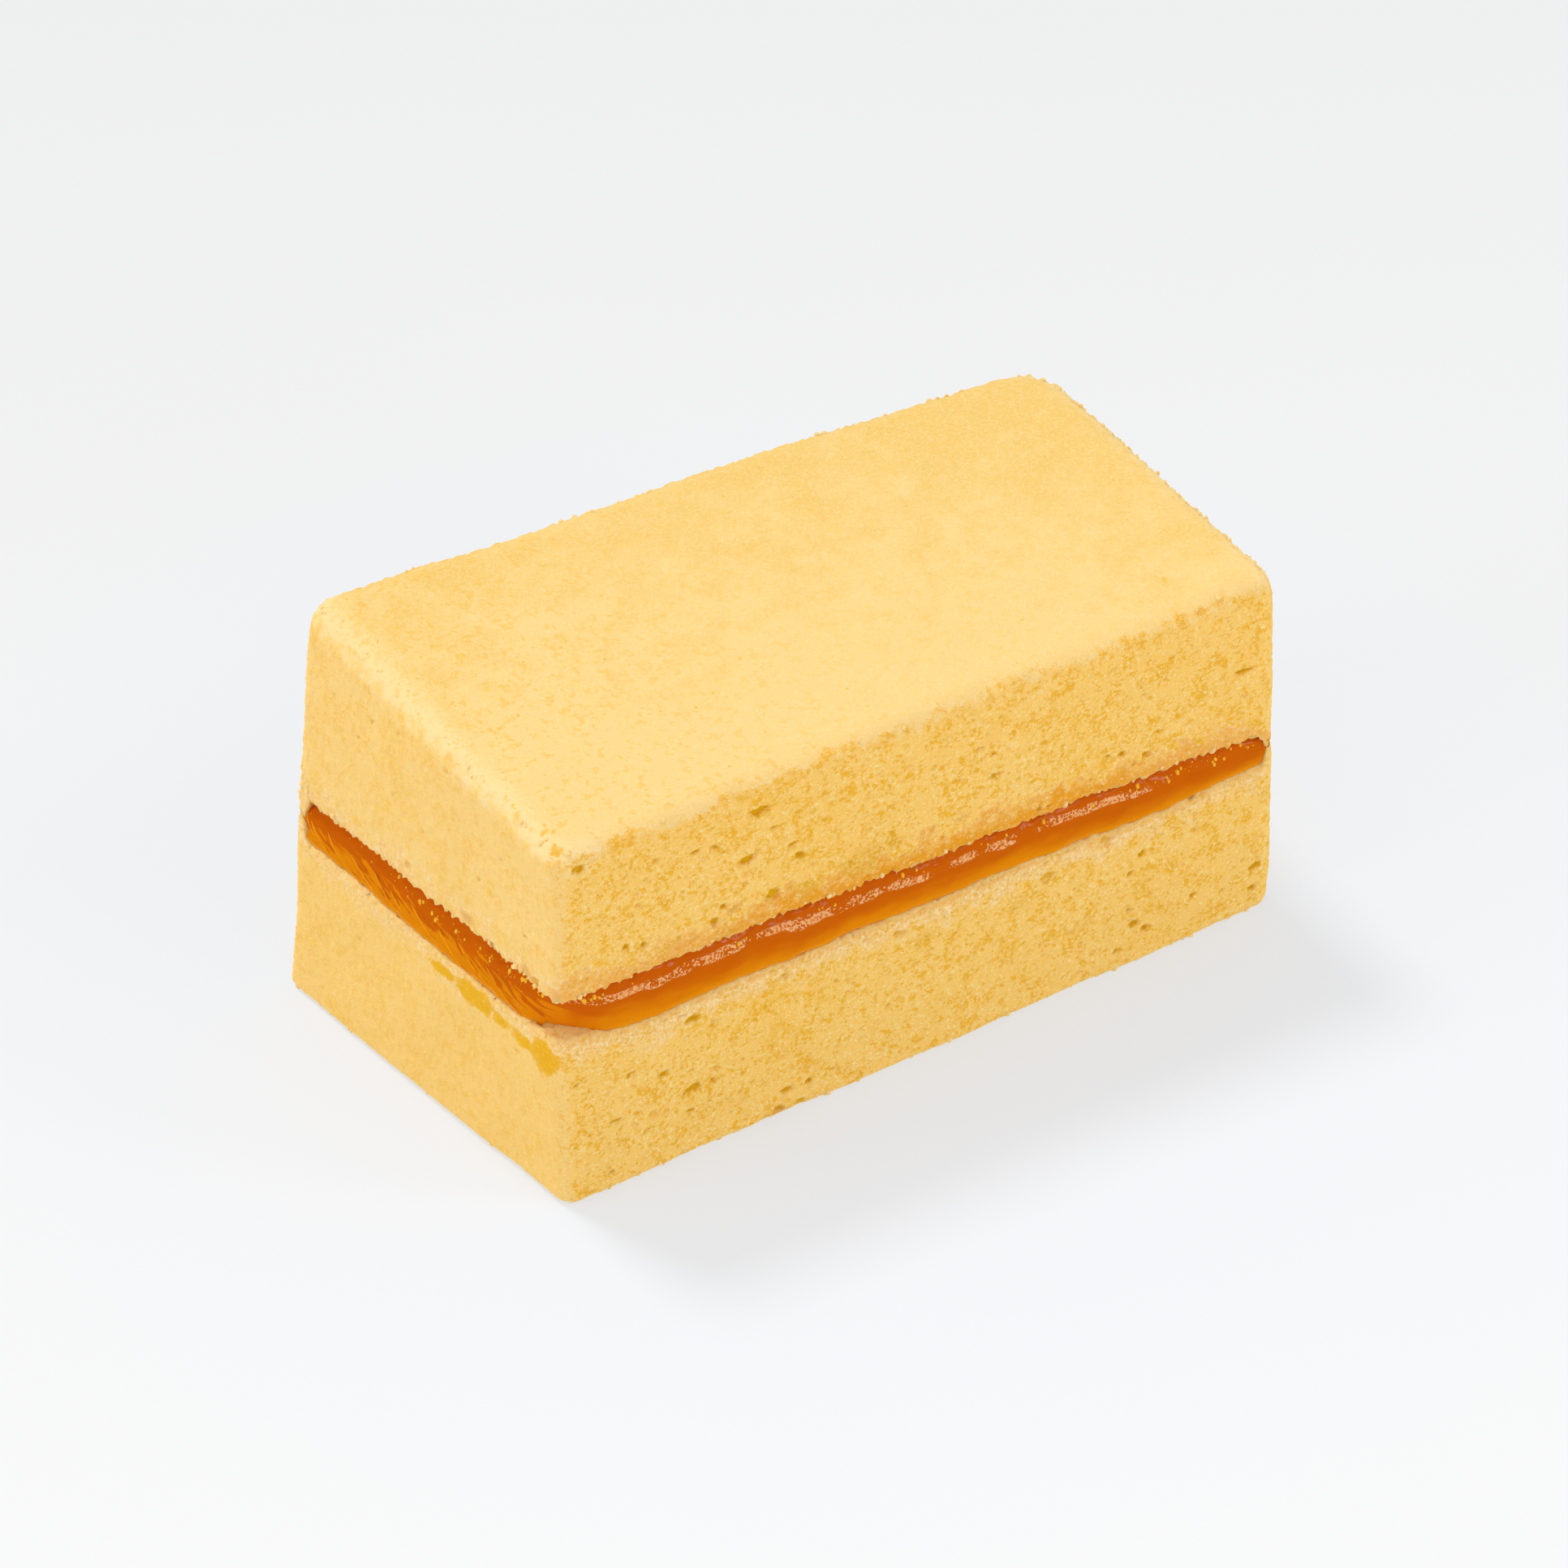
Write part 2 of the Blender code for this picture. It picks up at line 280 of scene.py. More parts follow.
def filling_spot(x, y, share, proud=0):
    """A point of the filling: a slab whose side slopes back under the upper layer.

    proud lifts it off the side, as what lies on the filling is.
    """
    along, across = x / LENGTH, y / WIDTH
    low = filling_floor(along, across) - CLEARANCE / 2 - FILLING_SINK
    high = filling_ceiling(along, across) + CLEARANCE / 2 + FILLING_SINK
    height = mix(low, high, share)
    from_top = 1 - share < FILLING_SHOULDER
    depth = high - height if from_top else height - low
    edge_radius = (high - low) * (FILLING_SHOULDER if from_top else FILLING_TUCK)
    inward, depth = rounded(inward_of(x, y, FILLING_RECESS), depth, edge_radius)

    inward += OOZE * (0.5 + noise.noise(Vector((x, y, height)) / OOZE_LENGTH)) - proud
    radius = nearest_corner(along, across).filling_radius
    x, y = rounded_in_plan(x, y, radius, inward, FILLING_RECESS)
    place = uneven(on_cake(x, y, high - depth if from_top else low + depth))
    return Spot(place, FAR_BELOW_CROWN, 0, share)


def middle_of_solids():
    """Where the middle of the footprint is before it is moved to the origin, as on the solids."""
    steps = 100
    shares = [0, 0.002, 0.004, 0.008, 0.016, 0.5, 0.984, 0.992, 0.996, 0.998, 1]
    low, high = Vector((1, 1)), Vector((-1, -1))
    spots = [
        spot_at(LENGTH * a, WIDTH * b, share).place
        for spot_at in (lower_spot, upper_spot)
        for i in range(steps + 1)
        for a, b in ((i / steps, 0), (i / steps, 1), (0, i / steps), (1, i / steps))
        for share in shares
    ]
    for place in spots:
        low = Vector(map(min, low, place.xy))
        high = Vector(map(max, high, place.xy))
    return ((low + high) / 2).to_3d()


MIDDLE = middle_of_solids()


# ---------------------------------------------------------------------------------------------
# Meshes
# ---------------------------------------------------------------------------------------------

HIDDEN_RING = 4.5 * MM  # faces against another layer, or the floor, are fine only this far in


def even(start, end, spacing):
    """Evenly spaced places from start to end."""
    count = max(2, round((end - start) / spacing))
    return [mix(start, end, i / count) for i in range(count + 1)]


def shell(name, xs, ys, shares, spot_at, open_top, halve):
    """A closed mesh over a lattice, whose points carry their spots' values.

    The face against what hides it is one wide polygon inside a ring of fine ones, and so is the
    upper face unless open_top is set. halve cuts the faces of the sides in four.
    """
    mesh = bmesh.new()
    layers = [mesh.verts.layers.float.new(field) for field in Spot._fields[1:]]
    made = {}

    def corner(i, j, k):
        if (i, j, k) not in made:
            spot = spot_at(xs[i], ys[j], shares[k])
            made[i, j, k] = vertex = mesh.verts.new(spot.place - MIDDLE)
            for layer, value in zip(layers, spot[1:]):
                vertex[layer] = value
        return made[i, j, k]

    last_x, last_y, last_z = len(xs) - 1, len(ys) - 1, len(shares) - 1
    ring_x = next(i for i, x in enumerate(xs) if x - xs[0] > HIDDEN_RING)
    ring_y = next(j for j, y in enumerate(ys) if y - ys[0] > HIDDEN_RING)

    def cap(k, order, whole):
        inner_x, inner_y = range(ring_x, last_x - ring_x), range(ring_y, last_y - ring_y)
        for i in range(last_x):
            for j in range(last_y):
                if whole or i not in inner_x or j not in inner_y:
                    around = (i, j), (i + 1, j), (i + 1, j + 1), (i, j + 1)
                    mesh.faces.new([corner(a, b, k) for a, b in around][::order])
        if whole:
            return
        right, back = last_x - ring_x, last_y - ring_y
        around = [(i, ring_y) for i in inner_x] + [(right, j) for j in inner_y]
        around += [(i + 1, back) for i in reversed(inner_x)]
        around += [(ring_x, j + 1) for j in reversed(inner_y)]
        mesh.faces.new([corner(a, b, k) for a, b in around][::order])

    cap(last_z, 1, open_top)
    cap(0, -1, False)
    sides = []
    for k in range(last_z):
        for i in range(last_x):
            around = (i, k), (i + 1, k), (i + 1, k + 1), (i, k + 1)
            sides.append(mesh.faces.new([corner(a, 0, c) for a, c in around]))
            sides.append(mesh.faces.new([corner(a, last_y, c) for a, c in reversed(around)]))
        for j in range(last_y):
            around = (j, k), (j + 1, k), (j + 1, k + 1), (j, k + 1)
            sides.append(mesh.faces.new([corner(last_x, b, c) for b, c in around]))
            sides.append(mesh.faces.new([corner(0, b, c) for b, c in reversed(around)]))
    if halve:
        edges = list({edge for face in sides for edge in face.edges})
        bmesh.ops.subdivide_edges(mesh, edges=edges, cuts=1, use_grid_fill=True)
    data = bpy.data.meshes.new(name)
    mesh.to_mesh(data)
    mesh.free()
    data.shade_smooth()
    return linked(bpy.data.objects.new(name, data))


def linked(piece):
    bpy.context.scene.collection.objects.link(piece)
    return piece


def values_of(data, name):
    """An attribute of a mesh's points as an array."""
    found = np.empty(len(data.vertices), np.float32)
    data.attributes[name].data.foreach_get("value", found)
    return found


def places_of(data):
    """The places of a mesh's points, in mm."""
    found = np.empty(3 * len(data.vertices), np.float32)
    data.vertices.foreach_get("co", found)
    return found.reshape(-1, 3) / MM


def normals_of(data):
    found = np.empty(3 * len(data.vertices), np.float32)
    data.vertex_normals.foreach_get("vector", found)
    return found.reshape(-1, 3)


def store(data, name, values):
    """Puts an array of values on a mesh's points."""
    layer = data.attributes.get(name) or data.attributes.new(name, "FLOAT", "POINT")
    layer.data.foreach_set("value", np.ascontiguousarray(values, np.float32))


def plain_mesh(piece):
    """The piece with its modifiers worked into its mesh, and none left on it."""
    graph = bpy.context.evaluated_depsgraph_get()
    data = bpy.data.meshes.new_from_object(
        piece.evaluated_get(graph), preserve_all_data_layers=True, depsgraph=graph
    )
    piece.modifiers.clear()
    old, piece.data = piece.data, data
    data.name = piece.name
    bpy.data.meshes.remove(old)
    return piece


# ---------------------------------------------------------------------------------------------
# Node trees
# ---------------------------------------------------------------------------------------------


class Value:
    """A socket of a node tree. An expression on values adds its maths nodes."""

    def __init__(self, tree, socket):
        self.tree, self.socket = tree, socket

    def maths(self, operation, other=0.0, swapped=False):
        first, second = (other, self) if swapped else (self, other)
        sockets = [v.socket.type for v in (first, second) if isinstance(v, Value)]
        if "VECTOR" not in sockets:
            return self.tree.add("ShaderNodeMath", {"operation": operation}, {0: first, 1: second})
        first, second = (
            (v,) * 3 if isinstance(v, (int, float)) else v for v in (first, second)
        )
        return self.tree.add("ShaderNodeVectorMath", {"operation": operation}, {0: first, 1: second})

    def __add__(self, other):
        return self.maths("ADD", other)

    def __radd__(self, other):
        return self.maths("ADD", other, swapped=True)

    def __sub__(self, other):
        return self.maths("SUBTRACT", other)

    def __rsub__(self, other):
        return self.maths("SUBTRACT", other, swapped=True)

    def __mul__(self, other):
        return self.maths("MULTIPLY", other)

    def __rmul__(self, other):
        return self.maths("MULTIPLY", other, swapped=True)

    def __truediv__(self, other):
        return self.maths("DIVIDE", other)

    def __pow__(self, other):
        return self.maths("POWER", other)

    def at_least(self, other):
        return self.maths("MAXIMUM", other)

    def at_most(self, other):
        return self.maths("MINIMUM", other)

    def size(self):
        return self.maths("ABSOLUTE")

    def parts(self):
        """The X, Y and Z of a vector, or the red, green and blue of a colour."""
        node = self.tree.add("ShaderNodeSeparateXYZ", {}, {0: self}).socket.node
        return [Value(self.tree, socket) for socket in node.outputs]

    def step(self, low, high):
        """Eases from 0 where the value is low to 1 where it is high."""
        settings = {"interpolation_type": "SMOOTHSTEP"}
        inputs = {"Value": self, "From Min": low, "From Max": high}
        return self.tree.add("ShaderNodeMapRange", settings, inputs)


NOISE_ROUGHNESS = 0.55
NOISE_SPREAD = 11.5  # takes noise that has lost its mean to a spread of about 1


class Tree:
    """A node tree that is built by adding nodes with their settings and inputs."""

    def __init__(self, tree):
        self.tree = tree
        tree.nodes.clear()

    def add(self, kind, settings=None, inputs=None, output=0):
        node = self.tree.nodes.new(kind)
        for name, value in (settings or {}).items():
            setattr(node, name, value)
        for key, value in (inputs or {}).items():
            if isinstance(value, Value):
                self.tree.links.new(value.socket, node.inputs[key])
            else:
                node.inputs[key].default_value = value
        return Value(self, node.outputs[output]) if node.outputs else node

    def mixed(self, factor, first, second):
        """Colours mixed: the first where the factor is 0, the second where it is 1."""
        first, second = (
            v if isinstance(v, Value) else (*tuple(v)[:3], 1) for v in (first, second)
        )
        settings = {"data_type": "RGBA", "clamp_factor": True}
        return self.add("ShaderNodeMix", settings, {0: factor, 6: first, 7: second}, output=2)

    def coated(self, surface, coats):
        """A colour with others laid over it in order. Each comes after the share it covers."""
        for covered, tone in coats:
            surface = self.mixed(covered, surface, tone)
        return surface

    def scaled(self, colour, factor):
        """A colour made lighter or darker."""
        settings = {"data_type": "RGBA", "blend_type": "MULTIPLY", "clamp_factor": True}
        grey = self.add("ShaderNodeCombineColor", {}, {0: factor, 1: factor, 2: factor})
        return self.add("ShaderNodeMix", settings, {0: 1.0, 6: colour, 7: grey}, output=2)

    def noise(self, place, size, detail=2.0, roughness=0.5, output=0):
        """Smooth noise from 0 to 1. size is that of its lumps."""
        inputs = {
            "Vector": place, "Scale": 1 / size, "Detail": detail, "Roughness": roughness,
        }
        return self.add("ShaderNodeTexNoise", {}, inputs, output)

    def wander(self, place, size, detail=2.0, output=0):
        """Smooth noise around 0, two thirds of it between -1 and 1."""
        return (self.noise(place, size, detail, NOISE_ROUGHNESS, output) - 0.5) * NOISE_SPREAD

    def cells(self, place, size):
        """Distance from the middle of the nearest of many cells, and a random value for each."""
        inputs = {"Vector": place, "Scale": 1 / size}
        distance = self.add("ShaderNodeTexVoronoi", {"feature": "F1"}, inputs)
        colour = Value(self, distance.socket.node.outputs["Color"])
        return distance, colour.parts()[0]

    def pores(self, place, size, kept, smallest, largest):
        """1 inside scattered round pores. kept is the share of the cells that hold one."""
        distance, chance = self.cells(place, size)
        radius = ((chance - (1 - kept)) * (1 / kept)).at_least(0.0) ** 2 * (largest - smallest)
        radius = radius + smallest
        held = chance.step(1 - kept, 1 - kept + 0.02)
        return (1 - (distance / radius).step(0.55, 1.15)) * held


def linear(red, green, blue):
    """A colour of the screen, each part from 0 to 255, as light."""
    parts = [part / 255 for part in (red, green, blue)]
    return tuple(p / 12.92 if p < 0.04045 else ((p + 0.055) / 1.055) ** 2.4 for p in parts)


def shader_tree(name):
    """A new material and its tree."""
    material = bpy.data.materials.new(name)
    material.use_nodes = True
    return material, Tree(material.node_tree)


def principled(tree, varying, constant):
    """The surface of a material. constant holds what is the same all over it."""
    shader = tree.add("ShaderNodeBsdfPrincipled", {}, {**constant, **varying})
    tree.add("ShaderNodeOutputMaterial", {}, {"Surface": shader})


def bumped(tree, height, depth, strength=1.0):
    """The normal over a relief whose height runs from 0 to 1. depth is in metres."""
    inputs = {"Strength": strength, "Distance": depth, "Height": height}
    return tree.add("ShaderNodeBump", {}, inputs)


def place_in_mm(tree):
    """Where a point of the surface is, in a material."""
    return tree.add("ShaderNodeTexCoord", {}, {}, output="Object") * PER_MM


def point_in_mm(tree):
    """Where a point of the mesh is, in Geometry Nodes."""
    return tree.add("GeometryNodeInputPosition") * PER_MM


def attribute(tree, name):
    """A value that the mesh's points carry, in a material."""
    return tree.add("ShaderNodeAttribute", {"attribute_name": name}, {}, output="Fac")


def carried(tree, name):
    """A value that the mesh's points carry, in Geometry Nodes."""
    return tree.add("GeometryNodeInputNamedAttribute", {"data_type": "FLOAT"}, {"Name": name})


def geometry_tree(name, sizes):
    """A new tree of Geometry Nodes with a mesh in, a mesh out and an input for each of sizes."""
    group = bpy.data.node_groups.new(name, "GeometryNodeTree")
    group.interface.new_socket("Geometry", in_out="INPUT", socket_type="NodeSocketGeometry")
    for size, value in sizes.items():
        kind = {int: "NodeSocketInt", float: "NodeSocketFloat"}.get(type(value))
        group.interface.new_socket(size, in_out="INPUT", socket_type=kind or "NodeSocketMaterial")
    group.interface.new_socket("Geometry", in_out="OUTPUT", socket_type="NodeSocketGeometry")
    tree = Tree(group)
    first = tree.add("NodeGroupInput")
    inputs = {s.name: Value(tree, s) for s in first.socket.node.outputs if s.name}
    return tree, inputs


def end_of_tree(tree, geometry, material):
    geometry = tree.add("GeometryNodeRealizeInstances", {}, {"Geometry": geometry})
    geometry = tree.add("GeometryNodeSetMaterial", {}, {"Geometry": geometry, "Material": material})
    tree.add("NodeGroupOutput", {}, {"Geometry": geometry})


def run_tree(piece, tree, sizes):
    """Puts a tree on a piece with these inputs and works the result into its mesh."""
    modifier = piece.modifiers.new(tree.tree.name, "NODES")
    modifier.node_group = tree.tree
    for item in tree.tree.interface.items_tree:
        if item.in_out == "INPUT" and item.name in sizes:
            modifier[item.identifier] = sizes[item.name]
    return plain_mesh(piece)


# ---------------------------------------------------------------------------------------------
# Settings
# ---------------------------------------------------------------------------------------------


def length(name, description, default):
    return FloatProperty(
        name=name, description=description, default=default, min=0, unit="LENGTH", precision=5
    )


def share(name, description, default):
    return FloatProperty(
        name=name, description=description, default=default, min=0, max=1, subtype="FACTOR"
    )


def colour(name, description, *screen):
    return FloatVectorProperty(
        name=name, description=description, default=linear(*screen),
        min=0, max=1, size=3, subtype="COLOR",
    )


class SpongeSettings(bpy.types.PropertyGroup):
    """Sizes and colours of both layers of sponge."""

    spacing: length("Spacing", "Between the points of the mesh, half that on the sides", 0.61 * MM)
    pore_size: length("Pores", "Between the larger pores of the cut faces", 2.3 * MM)
    pore_depth: length("Pore depth", "Of the larger pores", 0.42 * MM)
    dimple_size: length("Dimples", "Between the small dimples of the cut faces", 1.0 * MM)
    dimple_depth: length("Dimple depth", "Of the small dimples", 0.2 * MM)
    ragged: length("Raggedness", "Of the edges", 0.9 * MM)
    skin: colour("Skin", "Of the baked top", 252, 213, 138)
    skin_dark: colour("Skin in patches", "Yellower patches of the baked top", 244, 201, 112)
    # Paler skin; along the rounded left top edge it is partly a painted highlight
    skin_pale: colour("Pale edge", "Where the skin is rubbed off along the left edge", 255, 223, 162)
    # Also the painted shade inside the skin's pits, pores and dips
    skin_pit: colour("Pits of the skin", "Small yellow pits of the baked top", 244, 194, 84)
    cut: colour("Cut face", "Of the open crumb of the long sides", 255, 204, 108)
    end_face: colour("End face", "Of the smoother crumb of the two ends", 255, 210, 128)
    cut_dark: colour("Cut face in patches", "Deeper patches of the open crumb", 252, 197, 90)
    # Crests and dips: painted light on the high points of the fine grain, painted shade in its low
    # points
    crest: colour("Crests", "Of the fine grain of the crumb", 255, 225, 158)
    dip: colour("Dips", "Of the fine grain of the crumb", 244, 183, 56)
    # Painted shade inside the pores, over the shade of their real relief
    pore: colour("Pore", "Inside the pores", 224, 166, 20)
    moist: colour("Moist crumb", "Beside the filling", 252, 207, 138)
    # Painted shade in the dips of the moist crumb, and also its darker random bits
    moist_dip: colour("Dips of the moist crumb", "Beside the filling", 238, 184, 100)
    fleck: colour("Flecks", "Whitish bits of crumb beside the filling", 254, 226, 180)
    rim: colour("Rim", "Crumb that touches the filling", 238, 162, 40)
    soaked: colour("Soaked crumb", "Where the filling's syrup has run in", 244, 181, 12)
    stain: colour("Stains", "Darker moist patches of the near side", 228, 172, 46)
    scorch: colour("Scorched bits", "Browned bits of crumb", 216, 154, 72)
    roughness: share("Roughness", "Of the crumb", 0.88)


class FillingSettings(bpy.types.PropertyGroup):
    """Sizes and colours of the filling."""

    spacing: length("Spacing", "Between the points of the mesh", 0.3 * MM)
    deep: colour("Deep", "Upper part, which is in the shade of the sponge", 209, 99, 0)
    amber: colour("Amber", "Lower part, where light comes through", 232, 137, 0)
    # Painted highlight: the soft box's reflection along the near side, broken into patches; real gloss
    # lies over it
    foam: colour("Foam", "Broken strip of tiny bubbles along the near side", 252, 184, 122)
    # Darker gaps between the patches of the painted highlight
    foam_deep: colour("Foam in its pits", "Between the bubbles of the strip", 222, 120, 30)
    # The same tone is painted along the filling's foot as light
    thread: colour("Threads", "Light wrinkles of the lower part", 238, 150, 8)
    # Raised beads of jelly, coloured lighter as painted glints
    bead: colour("Beads", "Bubbles under the upper layer", 252, 182, 48)
    roughness: share("Roughness", "Of the jelly", 0.13)


class CrumbSettings(bpy.types.PropertyGroup):
    """Sizes and colours of the loose crumbs."""

    smallest: length("Smallest", "Radius of the smallest crumb", 0.1 * MM)
    largest: length("Largest", "Radius of the largest crumb", 0.36 * MM)
    density: FloatProperty(name="Density", description="Crumbs for each mm2", default=1.0, min=0)
    pale: colour("Pale", "Most crumbs", 255, 218, 146)
    brown: colour("Browned", "A few crumbs", 250, 204, 124)
    seed: IntProperty(name="Seed", description="Of where the crumbs lie", default=7)


class StageSettings(bpy.types.PropertyGroup):
    """The camera, the lights and the ground."""

    azimuth: FloatProperty(
        name="Azimuth", description="Of the camera, from the near side to the left end",
        default=radians(37.08), subtype="ANGLE",
    )
    elevation: FloatProperty(
        name="Elevation", description="Of the camera", default=radians(35.39), subtype="ANGLE"
    )
    roll: FloatProperty(
        name="Roll", description="Of the camera", default=radians(1.532), subtype="ANGLE"
    )
    distance: length("Distance", "From the camera to the cake", 1.094909)
    lens: FloatProperty(name="Lens", description="Focal length in mm", default=223.6)
    ground: colour("Ground", "Of the floor", 158, 161, 166)
    sky: FloatProperty(name="Sky", description="Light from all round", default=0.635, min=0)
    key: FloatProperty(name="Key", description="Light from behind, above", default=1.2, min=0)
    fill: FloatProperty(name="Fill", description="Light from the left", default=1.9, min=0)
    front: FloatProperty(name="Front", description="Light from the near side", default=1.56, min=0)
    box: FloatProperty(name="Box", description="Soft box on the right", default=0.6, min=0)


SETTINGS = {
    "cake_sponge": SpongeSettings,
    "cake_filling": FillingSettings,
    "cake_crumbs": CrumbSettings,
    "cake_stage": StageSettings,
}


# ---------------------------------------------------------------------------------------------
# Sponge
# ---------------------------------------------------------------------------------------------


class Mark(NamedTuple):
    """A pore or a stain on a face. Its place and size are in mm, along the face and up."""

    along: float
    up: float
    length: float
    height: float
    strength: float = 1.0


def marks(*rows):
    return [Mark(*row) for row in rows]


NEAR_PORES = marks(
    (-23.7, 42.4, 2.6, 1), (-21.7, 39.6, 1.3, 0.6, 0.8), (-19.2, 36.3, 1.6, 0.9, 0.8),
    (-18.1, 34.5, 1.2, 0.8), (-25.2, 36.8, 2.4, 1.1), (-32.3, 40.5, 1.4, 0.6, 0.9),
    (-37.5, 41.5, 1, 0.5, 0.8), (-47.5, 44.5, 1.7, 1), (-21.8, 30.8, 1.7, 1.5),
    (-28.3, 31.8, 1, 0.9, 0.9), (-29.5, 30.3, 1.2, 1), (-38.7, 39.5, 1, 0.6, 0.6),
    (-39.9, 36.7, 1.1, 0.6, 0.6), (-33.8, 36, 1, 0.6, 0.6), (-41.6, 31.9, 0.9, 0.7),
    (-39.1, 31.2, 1, 0.8, 0.9), (-32.4, 18.2, 2, 1), (-32.2, 8.9, 2.5, 1), (-36.4, 12.8, 1.5, 0.7),
    (-40.7, 14.6, 1.3, 0.6), (-16.3, 3.1, 0.9, 0.7), (-19.4, 3.1, 1.8, 0.7),
    (-42.9, 9.1, 2.3, 0.6, 0.8), (-32.5, 6, 1.3, 0.6, 0.8), (-38.7, 6.1, 1.4, 0.6, 0.7),
    (-43.4, 2.4, 1.3, 0.6, 0.8), (-47.9, 15.9, 1.2, 0.6, 0.7), (-11.3, 14.9, 1, 0.6, 0.7),
    (-20.1, 19, 1.4, 0.8, 0.7), (-5.6, 9, 1.2, 0.6, 0.7), (26.5, 30.2, 1.1, 0.9),
    (30, 28.8, 1.2, 0.9), (24.7, 30.6, 0.8, 0.7, 0.8), (28.2, 28.2, 0.7, 0.6, 0.8),
    (8.6, 34.4, 2.1, 0.6, 0.8), (31.3, 31.4, 1.1, 0.5, 0.8), (8.2, 37.5, 0.9, 0.6, 0.7),
    (6.2, 38.9, 1.3, 0.5, 0.8), (15.1, 27.2, 0.8, 0.7, 0.8), (46.8, 6.5, 1.8, 1.1),
    (46.7, 3.4, 1.3, 0.9), (30.1, 15.1, 0.9, 0.7), (28.6, 12.9, 1.2, 0.7, 0.8),
    (37.7, 6.3, 1, 0.7, 0.8), (42.1, 5, 0.9, 0.7, 0.8), (29.4, 5.6, 1.5, 0.8), (31, 4.4, 1.1, 0.8),
    (27, 2.8, 1.2, 0.7, 0.8), (28.5, 7.8, 0.9, 0.6, 0.8), (20.7, 13.8, 0.9, 0.6, 0.7),
    (43.4, 35, 2.2, 0.8), (-17.5, 0.6, 1.6, 1), (-20.5, 0.9, 1.5, 1), (-22.3, 0.4, 0.9, 0.8),
)
LEFT_PORES = marks(
    (6, 45, 0.9, 0.5, 0.6), (-3.5, 45.6, 1, 0.6, 0.7), (6.7, 36.5, 0.8, 0.5, 0.6),
    (2.8, 26.6, 1, 0.8, 0.8), (-14, 40, 1.1, 0.5, 0.6), (-19, 33, 1, 0.5, 0.6), (-21, 28.2, 1.1, 1),
    (-12.5, 27.6, 1, 0.8, 0.9), (14, 40, 0.8, 0.5, 0.6), (11.4, 43.6, 0.9, 0.7, 0.7),
    (18.6, 43, 0.8, 0.8, 0.6), (-9.6, 34.8, 0.9, 0.8, 0.7), (1.2, 35.2, 1.3, 0.5, 0.6),
    (-17.2, 16.4, 1.1, 0.9, 0.6), (12.6, 13.8, 1.2, 0.7, 0.6),
)
TOP_PORES = marks(
    (-48.7, -20.1, 0.9, 0.9), (-47.7, -20.5, 0.8, 0.7), (-49.3, -23.2, 1.3, 1),
    (36.3, -19.6, 0.9, 0.8), (37, -25.5, 1.3, 1.1), (-28.7, 20.8, 0.7, 0.5),
    (-30.7, 18.3, 0.6, 0.5), (-19.9, 10.3, 0.8, 0.5), (31, -16, 0.7, 0.5, 0.8),
)
STAINS = marks(
    (-9.8, 30.7, 4.6, 2.8), (-17.6, 29.8, 3.6, 1.8, 0.8), (-5.4, 31.4, 2.2, 1.6, 0.7),
    (13, 15.6, 3.5, 1.5, 0.6), (-1, 16.4, 4, 1.5, 0.6), (-36, 29.6, 3, 1.4, 0.5),
)
SOAKS = marks(
    (-3.6, 18.9, 3.4, 1, 0.9), (-9.2, 18.8, 4.6, 2), (-14.2, 18.4, 3.6, 1.1, 0.6),
    (-18.6, 18.5, 3.4, 1.4, 0.7), (-22.6, 18.9, 3.2, 3),
)
LEFT_SCORCHES = marks(
    (-19.4, 28.4, 1.6, 1.5), (-7.7, 28.5, 2.2, 1.1), (3.6, 29.2, 0.9, 0.7),
    (-11.8, 27.6, 1.5, 0.8, 0.8), (-25, 28.3, 1.4, 0.8, 0.7),
)
NEAR_SCORCHES = marks(
    (-26.9, 31, 1.6, 1.2, 0.8), (4.1, 30.7, 2.2, 0.9, 0.7), (-20.5, 0.4, 2.6, 0.8),
    (-33.5, 0.5, 1.6, 0.7, 0.8), (-10.5, 0.4, 1.5, 0.6, 0.7),
)
SOAKED_ROUND = -48.6  # the soaked marks run round the corner, to here along the near side, in mm
SPECKS = [  # browned specks of the top: X, Y and radius, in mm
    (9.8, -26.3, 0.35), (17.4, -26.2, 0.3), (1.5, 25.9, 1.3), (38.3, 23.1, 1.0),
]


def cone(across, up, mark):
    """1 in the middle of a mark, a half on its rim and 0 well outside it."""
    reach = np.hypot((across - mark.along) / mark.length, (up - mark.up) / mark.height)
    return np.clip(1 - reach, 0, 1) * mark.strength


def faces_of(normal):
    """How much each point faces near, left and up, from 0 to 1."""
    return (np.clip(part * 1.6 - 0.3, 0, 1) for part in (-normal[:, 1], -normal[:, 0], normal[:, 2]))


def mark_sponge(data):
    """Stores the pores and stains that the cake has at known places."""
    normal = normals_of(data)
    x, y, z = places_of(data).T
    near, left, up = faces_of(normal)

    def store_strongest(name, *groups):
        """Stores the strongest mark at each point. A group is its marks, two axes and a face."""
        found = np.zeros(len(x))
        for group, along, across, face in groups:
            for mark in group:
                found = np.maximum(found, cone(along, across, mark) * face)
        store(data, name, found)

    round_corner = np.maximum(left, near * (x < SOAKED_ROUND))
    store_strongest("hole", (NEAR_PORES, x, z, near), (LEFT_PORES, y, z, left), (TOP_PORES, x, y, up))
    store_strongest("stain", (STAINS, x, z, near))
    store_strongest("soak", (SOAKS, y, z, round_corner))
    store_strongest("scorch", (LEFT_SCORCHES, y, z, left), (NEAR_SCORCHES, x, z, near))
    # ledge: crumb facing up under the filling, whose colour is painted lighter against the shade that
    # the filling casts
    store(data, "ledge", up * (values_of(data, "from_filling") < 0.6))
    store(data, "open", np.abs(normal[:, 1]) ** 2)
    store(data, "pore", np.zeros(len(x)))


